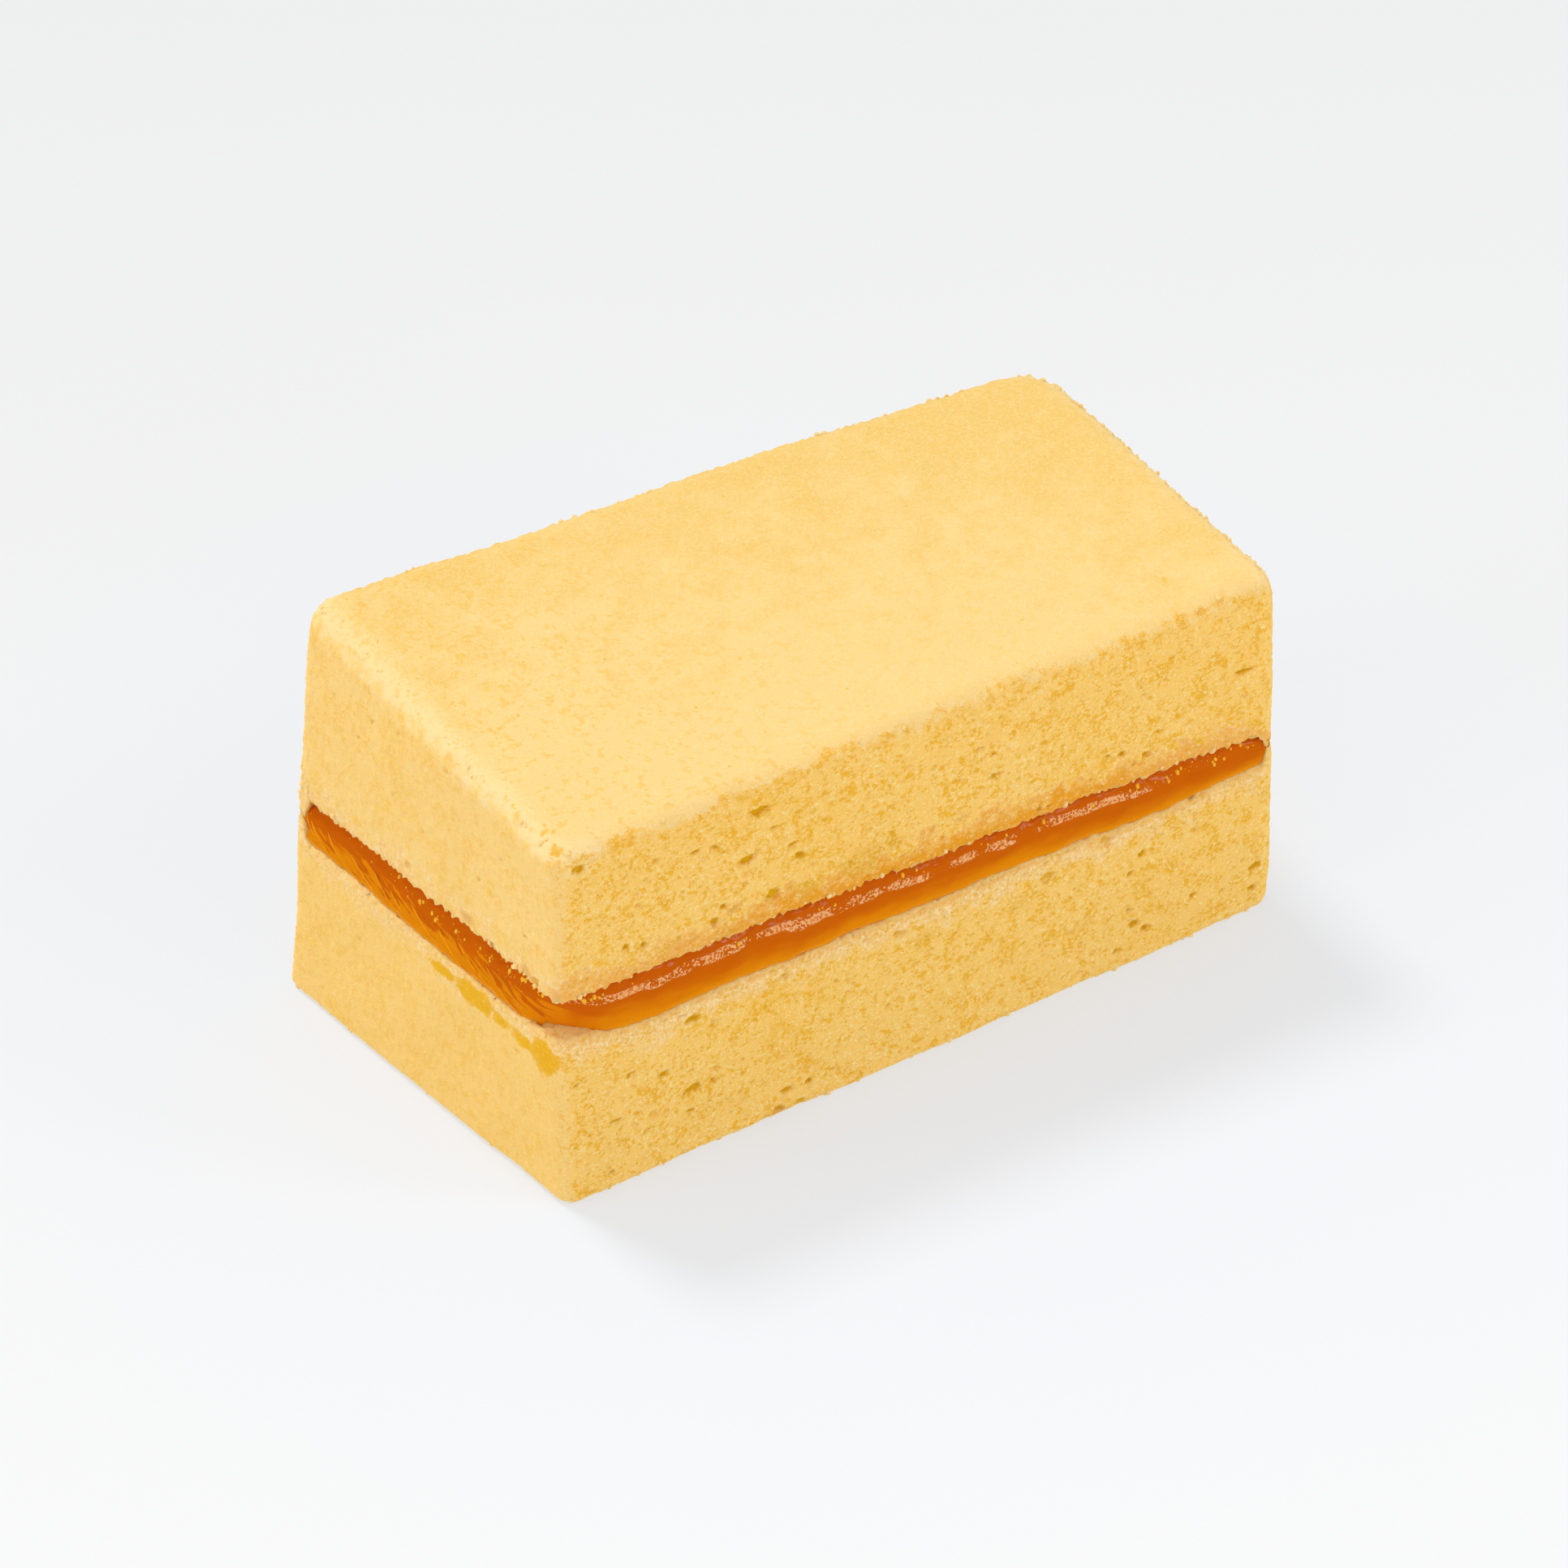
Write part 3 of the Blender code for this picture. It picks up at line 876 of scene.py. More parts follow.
def crumb_relief(sizes):
    """The relief of the crumb: pores, dimples, grain and ragged edges."""
    tree, given = geometry_tree("crumb relief", sizes)
    place = point_in_mm(tree)
    normal = tree.add("GeometryNodeInputNormal")
    below_crown, from_filling = carried(tree, "below_crown"), carried(tree, "from_filling")
    hole, opened = carried(tree, "hole"), carried(tree, "open")

    warped = place + (tree.noise(place, 1.6, output="Color") - 0.5) * 1.3
    flat = warped * (0.55, 0.62, 1.0)
    side = below_crown.step(0.2, 2.5)
    openness = side * (opened * 0.88 + 0.12)
    large = tree.pores(flat / given["Pore size"], 1.0, 0.16, 0.1, 0.36) * openness
    small = tree.pores(flat / given["Dimple size"], 1.0, 0.5, 0.14, 0.46) * openness
    ragged_hole = hole + tree.wander(place, 0.5, 3.0) * 0.09 * hole.step(0.08, 0.3)
    named = ragged_hole.step(0.36, 0.62)
    grain = tree.wander(place, 0.7, 3.0)

    depth = large * given["Pore depth"] + small * given["Dimple depth"]
    depth = depth.at_least(named * given["Pore depth"] * (side * 0.8 + 0.3))
    lift = grain * (side * 0.035 + 0.01) - depth

    edge = 1 - below_crown.size().step(0.5, 2.2)
    rim = (1 - from_filling.step(0.2, 1.0)) * side
    coarse = tree.wander(place, 0.8, output="Color")
    x, _, height = place.parts()
    edge = edge * (x.step(42.0, 47.0) * 0.8 + 1.0)
    ragged = coarse * ((edge * 0.09).at_least(rim * 0.14) * given["Ragged"])
    offset = (normal * lift + ragged) * MM
    offset = offset * (height.step(0.05, 0.6) * 0.9 + 0.1)
    geometry = tree.add(
        "GeometryNodeSetPosition", {}, {"Geometry": given["Geometry"], "Offset": offset}
    )
    pore = (large * 0.65).at_least(small * 0.35).at_least(named)
    geometry = tree.add(
        "GeometryNodeStoreNamedAttribute", {"data_type": "FLOAT", "domain": "POINT"},
        {"Geometry": geometry, "Name": "pore", "Value": pore},
    )
    end_of_tree(tree, geometry, given["Material"])
    return tree


SLOW, BLOTCH, LUMP, GRAIN, BIT, SPECK = 14.0, 3.2, 1.4, 0.42, 0.45, 0.18  # lumps of the patterns, in mm


class Crumb:
    """The places and the patterns that the coats of the sponge's colour share."""

    def __init__(self, tree):
        self.tree, self.place = tree, place_in_mm(tree)
        names = "below_crown", "from_filling", "open", "ledge", "pore", "stain", "soak", "scorch"
        for name in names:
            setattr(self, name, attribute(tree, name))
        self.x, self.y, height = self.place.parts()
        self.is_upper = height.step(22.0, 24.0)

        self.slow, self.blotch = tree.wander(self.place, SLOW), tree.wander(self.place, BLOTCH, 3.0)
        self.lumps, self.speck = tree.wander(self.place, LUMP, 3.0), tree.wander(self.place, SPECK)
        self.fine = tree.wander(self.place * (0.75, 0.75, 1.0), GRAIN, 3.0)
        self.bits = tree.wander(self.place + 40.0, BIT, 3.0)
        self.veins = 1 - tree.wander(self.place, 0.8, 3.0).size().step(0.0, 0.6)
        # The high and the low points of the fine grain, which the coats paint with light and with shade
        self.crests = (self.fine * 0.6 + self.speck * 0.6).step(0.5, 1.6)
        dips = self.blotch * 0.3 + self.lumps * 0.45 - self.fine * 0.8 - self.speck * 0.3
        self.dips = dips.step(0.55, 1.6)

        edge = self.below_crown + self.lumps * 0.7 + self.blotch * 0.7 + self.fine * 0.5
        self.cut_face = edge.step(0.1, 0.6)
        self.skin = 1 - self.cut_face
        self.openness = self.cut_face * (self.open * 0.7 + 0.3).at_least(self.ledge)
        moist = 1 - (self.from_filling + self.blotch * 0.8 + self.lumps * 0.5).step(0.4, 3.8)
        self.moist = moist * self.cut_face * (self.open * 0.3 + 0.7)
        self.wet = (self.soak + self.lumps * 0.1 * self.soak.step(0.02, 0.2)).step(0.1, 0.3)

        self.warped = self.place + tree.wander(self.place, 0.6, output="Color") * 0.09
        self.pits = tree.pores(self.warped * (0.6, 0.6, 1.0), 0.9, 0.3, 0.12, 0.42)
        self.to_left = 1 - self.x.step(-42.0, 5.0) * 0.7
        pinholes = tree.pores(self.warped, 1.0, 0.4, 0.06, 0.25)
        self.pinholes = pinholes * (self.blotch * 0.35 + self.to_left).step(0.1, 0.9) * self.skin


def bare_crumb(crumb, tones):
    """The colour of plain crumb: the baked skin on top, and the cut faces."""
    tree, x = crumb.tree, crumb.x
    dark = crumb.slow * 0.3 + crumb.blotch * 0.35 + (x * 1.3 + x.size()) * 0.012 + crumb.y * 0.05
    skin = tree.mixed(dark.step(-0.7, 2.0), tones.skin, tones.skin_dark)
    skin = tree.mixed(crumb.veins * 0.4, skin, tones.skin_pale)
    cut = tree.mixed((1 - crumb.open) * (crumb.is_upper * 0.5 + 0.5), tones.cut, tones.end_face)
    patches = (crumb.slow * 0.4 + crumb.blotch * 0.6 + crumb.lumps * 0.5).step(-0.5, 1.7)
    cut = tree.mixed(patches * (crumb.open * 0.6 + 0.4), cut, tones.cut_dark)
    return tree.mixed(crumb.cut_face, skin, cut)


def worn_and_highlight_coats(crumb, tones):
    """The pale edges. Along the left top edge the band is partly a painted highlight, where the rounded
    edge faces the light, and partly skin rubbed off; along the right one the skin is rubbed off.
    """
    # Along the left edge the pale band is partly a painted highlight of the rounded edge
    left = 1 - (crumb.x + crumb.blotch * 0.8).step(-46.5, -42.0)
    right = (crumb.x + crumb.lumps * 0.6).step(43.5, 48.0)
    from_crown = crumb.below_crown + crumb.lumps * 0.8 + crumb.fine * 0.5 + 0.3
    crown = 1 - from_crown.size().step(0.6, 3.4)
    upright = (1 - (crumb.open - 0.45).size() * 2.0) * left * (1 - crumb.moist) * crumb.cut_face
    return [(crown * (left * 0.85 + right * 0.5), tones.skin_pale), (upright * 0.6, tones.skin)]


def grain_coats(crumb, tones):
    """The moist crumb beside the filling, the fine grain with painted light on its crests and painted
    shade in its dips, and flecks where it is moist.
    """
    tree, moist = crumb.tree, crumb.moist
    # The painted shade of the dips, in the skin's tone and in the cut faces' tone
    dip = tree.mixed(crumb.cut_face, tones.skin_pit, tones.dip)
    return [
        (moist * (0.75 - crumb.is_upper * 0.2), tones.moist),
        (crumb.crests * (crumb.openness * 0.7 + 0.1), tones.crest),
        (crumb.dips * crumb.openness, tree.mixed(moist, dip, tones.moist_dip)),
        (crumb.bits.step(0.4, 1.3) * moist * 0.9, tones.fleck),
        ((crumb.bits * -1.0).step(0.6, 1.4) * moist * 0.6, tones.moist_dip),
        # Painted light: the ledge is lightened to offset the filling's shadow on it
        (crumb.ledge * (0.8 - crumb.dips * 0.4), tones.skin),
    ]


def rim_coats(crumb, tones):
    """The crumb that has taken up colour from the filling, further on the long sides above it."""
    above = crumb.is_upper * crumb.open
    distance = crumb.from_filling + crumb.lumps * (crumb.is_upper * 0.4 + 0.2)
    distance = distance + crumb.blotch * crumb.is_upper * 0.6
    touching = 1 - distance.step(above * 0.6, above * 2.8 + 1.1)
    # The rim's colour is kept off the ledge, which is painted lighter against its shade
    touching = touching * crumb.cut_face * (crumb.open * 0.6 + 0.4) * (1 - crumb.ledge * 0.7)
    middle = 1 - (crumb.x - 2.0).size().step(15.0, 42.0)
    touching = touching * (above * (middle * 0.4 + 0.05) + 0.6)
    return [(touching * (1 - crumb.crests * above * 0.5), tones.rim)]


def pore_coats(crumb, tones):
    """The pits and the bloom of the skin, and the pores, with painted shade inside the pores, pits and
    pinholes.
    """
    mottle = (crumb.lumps * 0.8 + crumb.fine * 0.6).step(0.3, 1.8) * crumb.to_left * crumb.skin
    bloom = (crumb.speck * 0.8 - crumb.fine * 0.5).step(0.4, 1.8) * crumb.skin
    # Painted shade inside the pores and pits
    inside = crumb.pore.at_least(crumb.pits * crumb.openness * 0.55).step(0.1, 1.0)
    return [
        (mottle * 0.6, tones.skin_pit),
        (bloom * 0.5, tones.skin_pale),
        (inside, crumb.tree.mixed(crumb.cut_face * crumb.open, tones.skin_pit, tones.pore)),
        (crumb.pinholes * 0.9, tones.skin_pit),
    ]


def mark_coats(crumb, tones):
    """The stained, soaked and browned marks, with ragged rims, and the specks of the top."""
    stained = (crumb.stain + crumb.lumps * 0.06 * crumb.stain.step(0.02, 0.2)).step(0.05, 0.6)
    scorched = (crumb.scorch + crumb.bits * 0.14 * crumb.scorch.step(0.05, 0.3)).step(0.1, 0.8)
    coats = [
        (stained * (0.5 - crumb.crests * 0.4 + crumb.dips * 0.4), tones.stain),
        (crumb.wet * (crumb.soak.step(0.1, 0.5) * 0.3 + 0.65 - crumb.crests * 0.3), tones.soaked),
        (scorched * 0.55, tones.scorch),
    ]
    on_top = 1 - crumb.below_crown.step(0.4, 1.2)
    flat, settings = crumb.warped * (1.0, 1.0, 0.0), {"operation": "DISTANCE"}
    for x, y, radius in SPECKS:
        ends = {0: flat, 1: (x, y, 0.0)}
        away = crumb.tree.add("ShaderNodeVectorMath", settings, ends, output="Value")
        coats.append(((1 - away.step(radius * 0.5, radius)) * on_top * 0.7, tones.scorch))
    return coats


def sponge_material(settings):
    """Chiffon crumb: pale skin on top, open cut faces, and moist and soaked parts."""
    if found := bpy.data.materials.get("chiffon crumb"):
        return found
    material, tree = shader_tree("chiffon crumb")
    crumb = Crumb(tree)
    surface = bare_crumb(crumb, settings)
    for coats in (worn_and_highlight_coats, grain_coats, rim_coats, pore_coats, mark_coats):
        surface = tree.coated(surface, coats(crumb, settings))
    shade = crumb.speck * (crumb.openness * 0.014 + 0.01) + 0.985

    relief = crumb.speck * 0.05 + crumb.fine * (crumb.openness * 0.06 + 0.03)
    relief = relief + crumb.veins * crumb.skin * 0.1
    relief = relief - (crumb.pits * 0.5 + crumb.dips * 0.2) * crumb.openness - crumb.pinholes * 0.4
    varying = {
        "Base Color": tree.scaled(surface, shade.at_most(1.0)),
        "Roughness": crumb.wet * -0.35 + settings.roughness,
        "Normal": bumped(tree, relief, 0.25 * MM, 0.5),
    }
    constant = {
        "Specular IOR Level": 0.06,
        "Subsurface Weight": 0.35,
        "Subsurface Radius": (1.0, 0.55, 0.2),
        "Subsurface Scale": 1.4 * MM,
    }
    principled(tree, varying, constant)
    return material


def sponge_layer(name, node, spot_at, thickness, open_top):
    """One layer of sponge, in place of its solid."""
    settings = bpy.context.scene.cake_sponge
    spacing = settings.spacing * 1
    piece = shell(
        name, even(0, LENGTH, spacing), even(0, WIDTH, spacing),
        [height / thickness for height in even(0, thickness, spacing)], spot_at, open_top, True,
    )
    mark_sponge(piece.data)
    sizes = {
        "Pore size": settings.pore_size / MM,
        "Pore depth": settings.pore_depth / MM,
        "Dimple size": settings.dimple_size / MM,
        "Dimple depth": settings.dimple_depth / MM,
        "Ragged": settings.ragged / MM,
        "Material": sponge_material(settings),
    }
    run_tree(piece, crumb_relief(sizes), sizes)
    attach(piece, "root")
    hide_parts(node)


class CAKE_OT_lower_sponge(bpy.types.Operator):
    """Make the lower layer of sponge"""

    bl_idname = "cake.lower_sponge"
    bl_label = "Lower sponge"

    def execute(self, context):
        sponge_layer("lower_layer", "lower_sponge", lower_spot, LOWER_THICKNESS, False)
        return {"FINISHED"}


class CAKE_OT_upper_sponge(bpy.types.Operator):
    """Make the upper layer of sponge with its baked top"""

    bl_idname = "cake.upper_sponge"
    bl_label = "Upper sponge"

    def execute(self, context):
        sponge_layer("upper_layer", "upper_sponge", upper_spot, UPPER_THICKNESS, True)
        return {"FINISHED"}


# ---------------------------------------------------------------------------------------------
# Filling
# ---------------------------------------------------------------------------------------------


def jelly_relief(sizes):
    """The relief of the filling: grainy where the upper layer pulled at it, smooth below."""
    tree, given = geometry_tree("jelly relief", sizes)
    place = point_in_mm(tree)
    normal = tree.add("GeometryNodeInputNormal")
    rise = carried(tree, "rise")
    lobes = tree.wander(place * (0.45, 0.45, 1.0), 1.3, 1.0)
    grain = tree.wander(place, 0.5)
    upper = rise.step(0.45, 0.65)
    lift = lobes * given["Lobes"] + grain * (upper * given["Grain"])
    geometry = tree.add(
        "GeometryNodeSetPosition", {}, {"Geometry": given["Geometry"], "Offset": normal * lift * MM}
    )
    end_of_tree(tree, geometry, given["Material"])
    return tree


def jelly_material(settings):
    """Orange jelly: deep above, amber and streaky below, with a broken strip in front painted lighter
    as a highlight.
    """
    material, tree = shader_tree("orange jelly")
    place = place_in_mm(tree)
    rise = attribute(tree, "rise")
    x, y, z = place.parts()
    near = 1 - y.step(-23.5, -21.5)
    slow, fine = tree.wander(place * (0.4, 0.4, 1.0), 3.0), tree.wander(place, 0.3, 3.0)

    along, across = (x + y) * 0.94 + z * 0.34, z * 0.94 - y * 0.34
    flow = tree.add("ShaderNodeCombineXYZ", {}, {0: along * 0.2, 1: across})
    streaks = tree.wander(flow, 0.75)
    end_amber = 1 - (rise + streaks * 0.12).step(0.36, 0.46)
    near_amber = 1 - (rise + slow * 0.04 + streaks * 0.02).step(0.04, 0.5)
    amber = near_amber * near + end_amber * (1 - near)
    lines = (1 - streaks.size().step(0.0, 0.35)) * (1 - near) * (1 - rise.step(0.35, 0.6))
    # Painted light along the foot of the filling, where it glows onto the crumb below
    lit_edge = 1 - (rise + fine * 0.02).step(0.02, 0.18)

    # A strip painted lighter along the upper third of the near side: a painted highlight for the soft
    # box's reflection, broken up by noise
    band = 1 - (rise - 0.66 + slow * 0.03).size().step(0.03, 0.13)
    band = band * near * (1 - (x + slow * 2.0).step(30.0, 36.0))
    patches = tree.wander(place * (0.35, 0.35, 1.0), 1.5, 3.0) * 0.7 + tree.wander(x, 9.0)
    foam = (patches + fine * 1.1).step(-0.2, 0.2) * band.step(0.25, 0.55)
    strip_colour = tree.mixed(fine.step(-0.8, 0.6), settings.foam_deep, settings.foam)
    light = (lines * 0.4).at_least(lit_edge * 0.8)
    coats = [(amber, settings.amber), (light, settings.thread), (foam, strip_colour)]
    relief = fine * (foam * 0.1 + 0.02) + foam * 0.5 + slow * 0.04 + streaks * 0.03
    varying = {
        "Base Color": tree.coated(settings.deep, coats),
        "Roughness": foam * 0.2 + settings.roughness,
        "Normal": bumped(tree, relief, 0.12 * MM, 0.8),
    }
    constant = {
        "Specular IOR Level": 0.3,
        "Subsurface Weight": 0.25,
        "Subsurface Radius": (1.0, 0.3, 0.05),
        "Subsurface Scale": 1.5 * MM,
    }
    principled(tree, varying, constant)
    return material


def glossy_material(name, tone, roughness):
    """A wet bit of jelly of nearly one tone."""
    material, tree = shader_tree(name)
    place = place_in_mm(tree)
    lighter = [min(part * 1.2, 1) for part in tone]
    body = tree.mixed(tree.noise(place, 0.8, 2.0).step(0.4, 0.65), tone, lighter)
    varying = {"Base Color": body, "Normal": bumped(tree, tree.noise(place, 0.2), 0.05 * MM)}
    principled(tree, varying, {"Roughness": roughness, "Specular IOR Level": 0.1})
    return material


THREADS = [
    # where its tip is along the end, the heights of tip and foot as shares, and its reach in mm
    (23.2, 0.8, 0.3, 2.6), (22.1, 0.62, 0.05, 6.5), (18.9, 0.6, 0.08, 6.0), (14.6, 0.52, 0.04, 7.5),
    (10.4, 0.58, 0.12, 6.0), (7.2, 0.5, 0.04, 6.5), (3.1, 0.55, 0.1, 7.0), (-1.9, 0.5, 0.05, 6.0),
    (-5.6, 0.52, 0.14, 6.5), (-10.8, 0.5, 0.06, 7.5),
]
THREAD_CURL = 2.2  # how much faster a thread drops at its tip
THREAD_POINTS = 14
THREAD_PROUD = 0.02 * MM


def thread_lines():
    """The routes of the threads on the left end, as a mesh of edges."""
    points, edges = [], []
    for start, upper, lower, reach in THREADS:
        for step in range(THREAD_POINTS):
            t = step / (THREAD_POINTS - 1)
            y = (start - reach * t) * MM + WIDTH / 2
            height = mix(lower, upper, (1 - t) ** THREAD_CURL)
            spot = filling_spot(FILLING_RECESS, y, height, THREAD_PROUD)
            if step:
                edges.append((len(points) - 1, len(points)))
            points.append(spot.place - MIDDLE)
    data = bpy.data.meshes.new("threads")
    data.from_pydata(points, edges, [])
    return linked(bpy.data.objects.new("filling_threads", data))


def thread_tree(sizes):
    """Turns lines into thin tapering threads."""
    tree, given = geometry_tree("threads", sizes)
    curve = tree.add("GeometryNodeMeshToCurve", {}, {"Mesh": given["Geometry"]})
    along = tree.add("GeometryNodeSplineParameter", {}, {}, output="Factor")
    swell = ((along * 8.0).at_most(1.0) * (1 - along)).at_least(0.0) ** 0.7
    curve = tree.add(
        "GeometryNodeSetCurveRadius", {}, {"Curve": curve, "Radius": swell * 0.85 + 0.15}
    )
    profile = tree.add(
        "GeometryNodeCurvePrimitiveCircle", {"mode": "RADIUS"},
        {"Resolution": 8, "Radius": given["Radius"]},
    )
    radius = tree.add("GeometryNodeInputRadius")
    inputs = {"Curve": curve, "Profile Curve": profile, "Scale": radius, "Fill Caps": True}
    threads = tree.add("GeometryNodeCurveToMesh", {}, inputs)
    end_of_tree(tree, threads, given["Material"])
    return tree


def bead_tree(sizes):
    """Scatters small flattened bubbles over a mesh, where its density says."""
    tree, given = geometry_tree("beads", sizes)
    scatter = tree.add(
        "GeometryNodeDistributePointsOnFaces", {"distribute_method": "RANDOM"},
        {"Mesh": given["Geometry"], "Density": carried(tree, "density"), "Seed": given["Seed"]},
    )
    rotation = Value(tree, scatter.socket.node.outputs["Rotation"])
    scale = random_between(tree, 0.0, 1.0, 3) ** 2.5 * (given["Largest"] - given["Smallest"])
    bead = tree.add("GeometryNodeMeshIcoSphere", {}, {"Radius": 1.0, "Subdivisions": 2})
    sides = {axis: scale * part + given["Smallest"] for axis, part in enumerate((1.0, 1.5, 0.6))}
    stretch = tree.add("ShaderNodeCombineXYZ", {}, sides)
    placed = tree.add(
        "GeometryNodeInstanceOnPoints", {},
        {"Points": scatter, "Instance": bead, "Rotation": rotation, "Scale": stretch},
    )
    end_of_tree(tree, placed, given["Material"])
    return tree


def random_between(tree, low, high, seed):
    inputs = {2: float(low), 3: float(high), "Seed": seed}
    return tree.add("FunctionNodeRandomValue", {"data_type": "FLOAT"}, inputs, output=1)


def scatter_source(name, piece, density):
    """A copy of a piece's mesh that things are scattered on. density is how many for each m2."""
    source = linked(bpy.data.objects.new(name, piece.data.copy()))
    store(source.data, "density", density)
    return source


BEAD_RISE, BEAD_BAND = 0.72, 0.16  # where most beads lie up the filling, and how far around
LEFT_BEADS, NEAR_BEADS, RIGHT_BEADS = 3.2, 0.5, 1.6  # for each mm2, the last right of the near side


def bead_density(data):
    """Bubbles for each m2: under the upper layer, and most towards the near left corner."""
    rise, (x, y, _) = values_of(data, "rise"), places_of(data).T
    under_rim = np.clip(1 - np.abs(rise - BEAD_RISE) / BEAD_BAND, 0, 1)
    left = (x < -44) * np.clip((14 - y) / 30, 0.05, 1) * LEFT_BEADS
    near = (y < -21) * (x > -46) * (x < 46) * np.where(x > 26, RIGHT_BEADS, NEAR_BEADS)
    return under_rim * np.maximum(left, near) / MM**2


class CAKE_OT_filling(bpy.types.Operator):
    """Make the orange filling with its beads, painted lighter as glints, and threads"""

    bl_idname = "cake.filling"
    bl_label = "Filling"

    def execute(self, context):
        settings = context.scene.cake_filling
        spacing = settings.spacing * 1
        upright = even(0, FILLING_THICKNESS, spacing * 0.75)
        piece = shell(
            "filling", even(FILLING_RECESS, LENGTH - FILLING_RECESS, spacing),
            even(FILLING_RECESS, WIDTH - FILLING_RECESS, spacing),
            [height / FILLING_THICKNESS for height in upright], filling_spot, False, False,
        )
        sizes = {"Lobes": 0.06, "Grain": 0.025, "Material": jelly_material(settings)}
        run_tree(piece, jelly_relief(sizes), sizes)
        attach(piece, "root")
        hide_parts("orange_filling")

        beads = scatter_source("filling_beads", piece, bead_density(piece.data))
        # The beads' lighter tone is a painted glint
        material = glossy_material("jelly beads", settings.bead, 0.4)
        sizes = {"Smallest": 0.06 * MM, "Largest": 0.27 * MM, "Seed": 4, "Material": material}
        run_tree(beads, bead_tree(sizes), sizes)
        threads = thread_lines()
        material = glossy_material("jelly threads", settings.thread, 0.5)
        sizes = {"Radius": 0.14 * MM, "Material": material}
        run_tree(threads, thread_tree(sizes), sizes)
        for extra in (beads, threads):
            extra.data.shade_smooth()
            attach(extra, "root")
        return {"FINISHED"}


# ---------------------------------------------------------------------------------------------
# Crumbs
# ---------------------------------------------------------------------------------------------

CRUMB_LUMPS = 0.28 * MM
ANY_WAY_ROUND = 6.28, 6.28, 6.28
FOOT_CRUMBS, RIM_CRUMBS = 1.3, 0.45  # for each mm2, and so are the next
FAR_CRUMBS, RIGHT_CRUMBS, NEAR_CRUMBS, LEFT_CRUMBS = 0.7, 2.2, 0.25, 0.5  # of the top edges
CRUMB_PATCH = Mark(25.5, 28, 3, 3.2, 6)  # on the left end, at its far edge
CRUMB_REACH, CROWN_CRUMB_REACH = 0.9, 1.3  # how far crumbs lie from an edge, in mm
OUTSIDE_X, OUTSIDE_Y = 49, 24.6  # in mm, where the outside of the cake begins


def crumb_tree(sizes):
    """Scatters irregular crumbs over a mesh, where its density says."""
    tree, given = geometry_tree("crumbs", sizes)
    scatter = tree.add(
        "GeometryNodeDistributePointsOnFaces", {"distribute_method": "RANDOM"},
        {
            "Mesh": given["Geometry"],
            "Density": carried(tree, "density") * given["Density"],
            "Seed": given["Seed"],
        },
    )
    scale = random_between(tree, 0.0, 1.0, 11) ** 2.2 * (given["Largest"] - given["Smallest"])
    scale = scale + given["Smallest"]
    turn = tree.add(
        "FunctionNodeRandomValue", {"data_type": "FLOAT_VECTOR"},
        {0: (0.0, 0.0, 0.0), 1: ANY_WAY_ROUND, "Seed": 12},
    )
    stretch = tree.add(
        "FunctionNodeRandomValue", {"data_type": "FLOAT_VECTOR"},
        {0: (0.7, 0.7, 0.7), 1: (1.4, 1.2, 1.1), "Seed": 13},
    )
    crumb = tree.add("GeometryNodeMeshIcoSphere", {}, {"Radius": 1.0, "Subdivisions": 2})
    placed = tree.add(
        "GeometryNodeInstanceOnPoints", {},
        {"Points": scatter, "Instance": crumb, "Rotation": turn, "Scale": stretch * scale},
    )
    solid = tree.add("GeometryNodeRealizeInstances", {}, {"Geometry": placed})
    place = point_in_mm(tree)
    lumps = (tree.noise(place, 0.3, 2.0, 0.6, output="Color") - 0.5) * CRUMB_LUMPS
    solid = tree.add("GeometryNodeSetPosition", {}, {"Geometry": solid, "Offset": lumps})
    x, y, z = tree.add("GeometryNodeInputPosition").parts()
    above_floor = tree.add("ShaderNodeCombineXYZ", {}, {0: x, 1: y, 2: z.at_least(0.0)})
    inputs = {"Geometry": solid, "Position": above_floor}
    solid = tree.add("GeometryNodeSetPosition", {}, inputs)
    end_of_tree(tree, solid, given["Material"])
    return tree


def crumb_material(settings):
    """Dry crumbs, a few of them browned."""
    material, tree = shader_tree("loose crumbs")
    place = place_in_mm(tree)
    tone = tree.noise(place, 1.2, 2.0)
    body = tree.mixed(tone.step(0.55, 0.75), settings.pale, settings.brown)
    grain = tree.noise(place, 0.15, 2.0, 0.7)
    body = tree.scaled(body, (grain * 0.25 + 0.86).at_most(1.0))
    constant = {
        "Roughness": 0.9, "Specular IOR Level": 0.06, "Subsurface Weight": 0.3,
        "Subsurface Radius": (1.0, 0.6, 0.25), "Subsurface Scale": 0.15 * MM,
    }
    varying = {"Base Color": body, "Normal": bumped(tree, grain, 0.08 * MM)}
    principled(tree, varying, constant)
    return material


def foot_crumbs(data):
    """Crumbs for each m2 of the lower layer, along its foot."""
    x, y, z = places_of(data).T
    foot = np.clip(1 - z / CRUMB_REACH, 0, 1) * (z > 0.25) * is_outer(x, y)
    return foot * FOOT_CRUMBS / MM**2


def edge_crumbs(data):
    """Crumbs for each m2 of the upper layer, along its edges and at its far left corner."""
    x, y, z = places_of(data).T
    below_crown, from_filling = values_of(data, "below_crown"), values_of(data, "from_filling")
    upright = np.abs(normals_of(data)[:, 2]) < 0.95
    rim = np.clip(1 - from_filling / CRUMB_REACH, 0, 1) * upright * is_outer(x, y)
    crown = np.clip(1 - np.abs(below_crown) / CROWN_CRUMB_REACH, 0, 1)
    far_and_right = (y > 20) * FAR_CRUMBS + (x > 44) * RIGHT_CRUMBS
    crown = crown * (far_and_right + (y < -20) * NEAR_CRUMBS + (x < -44) * LEFT_CRUMBS)
    patch = cone(y, z, CRUMB_PATCH) * (x < -44)
    return np.maximum.reduce([rim * RIM_CRUMBS, crown, patch]) / MM**2


def is_outer(x, y):
    """Whether points are on the outside of the cake and not against another layer."""
    return (np.abs(x) > OUTSIDE_X) | (np.abs(y) > OUTSIDE_Y)


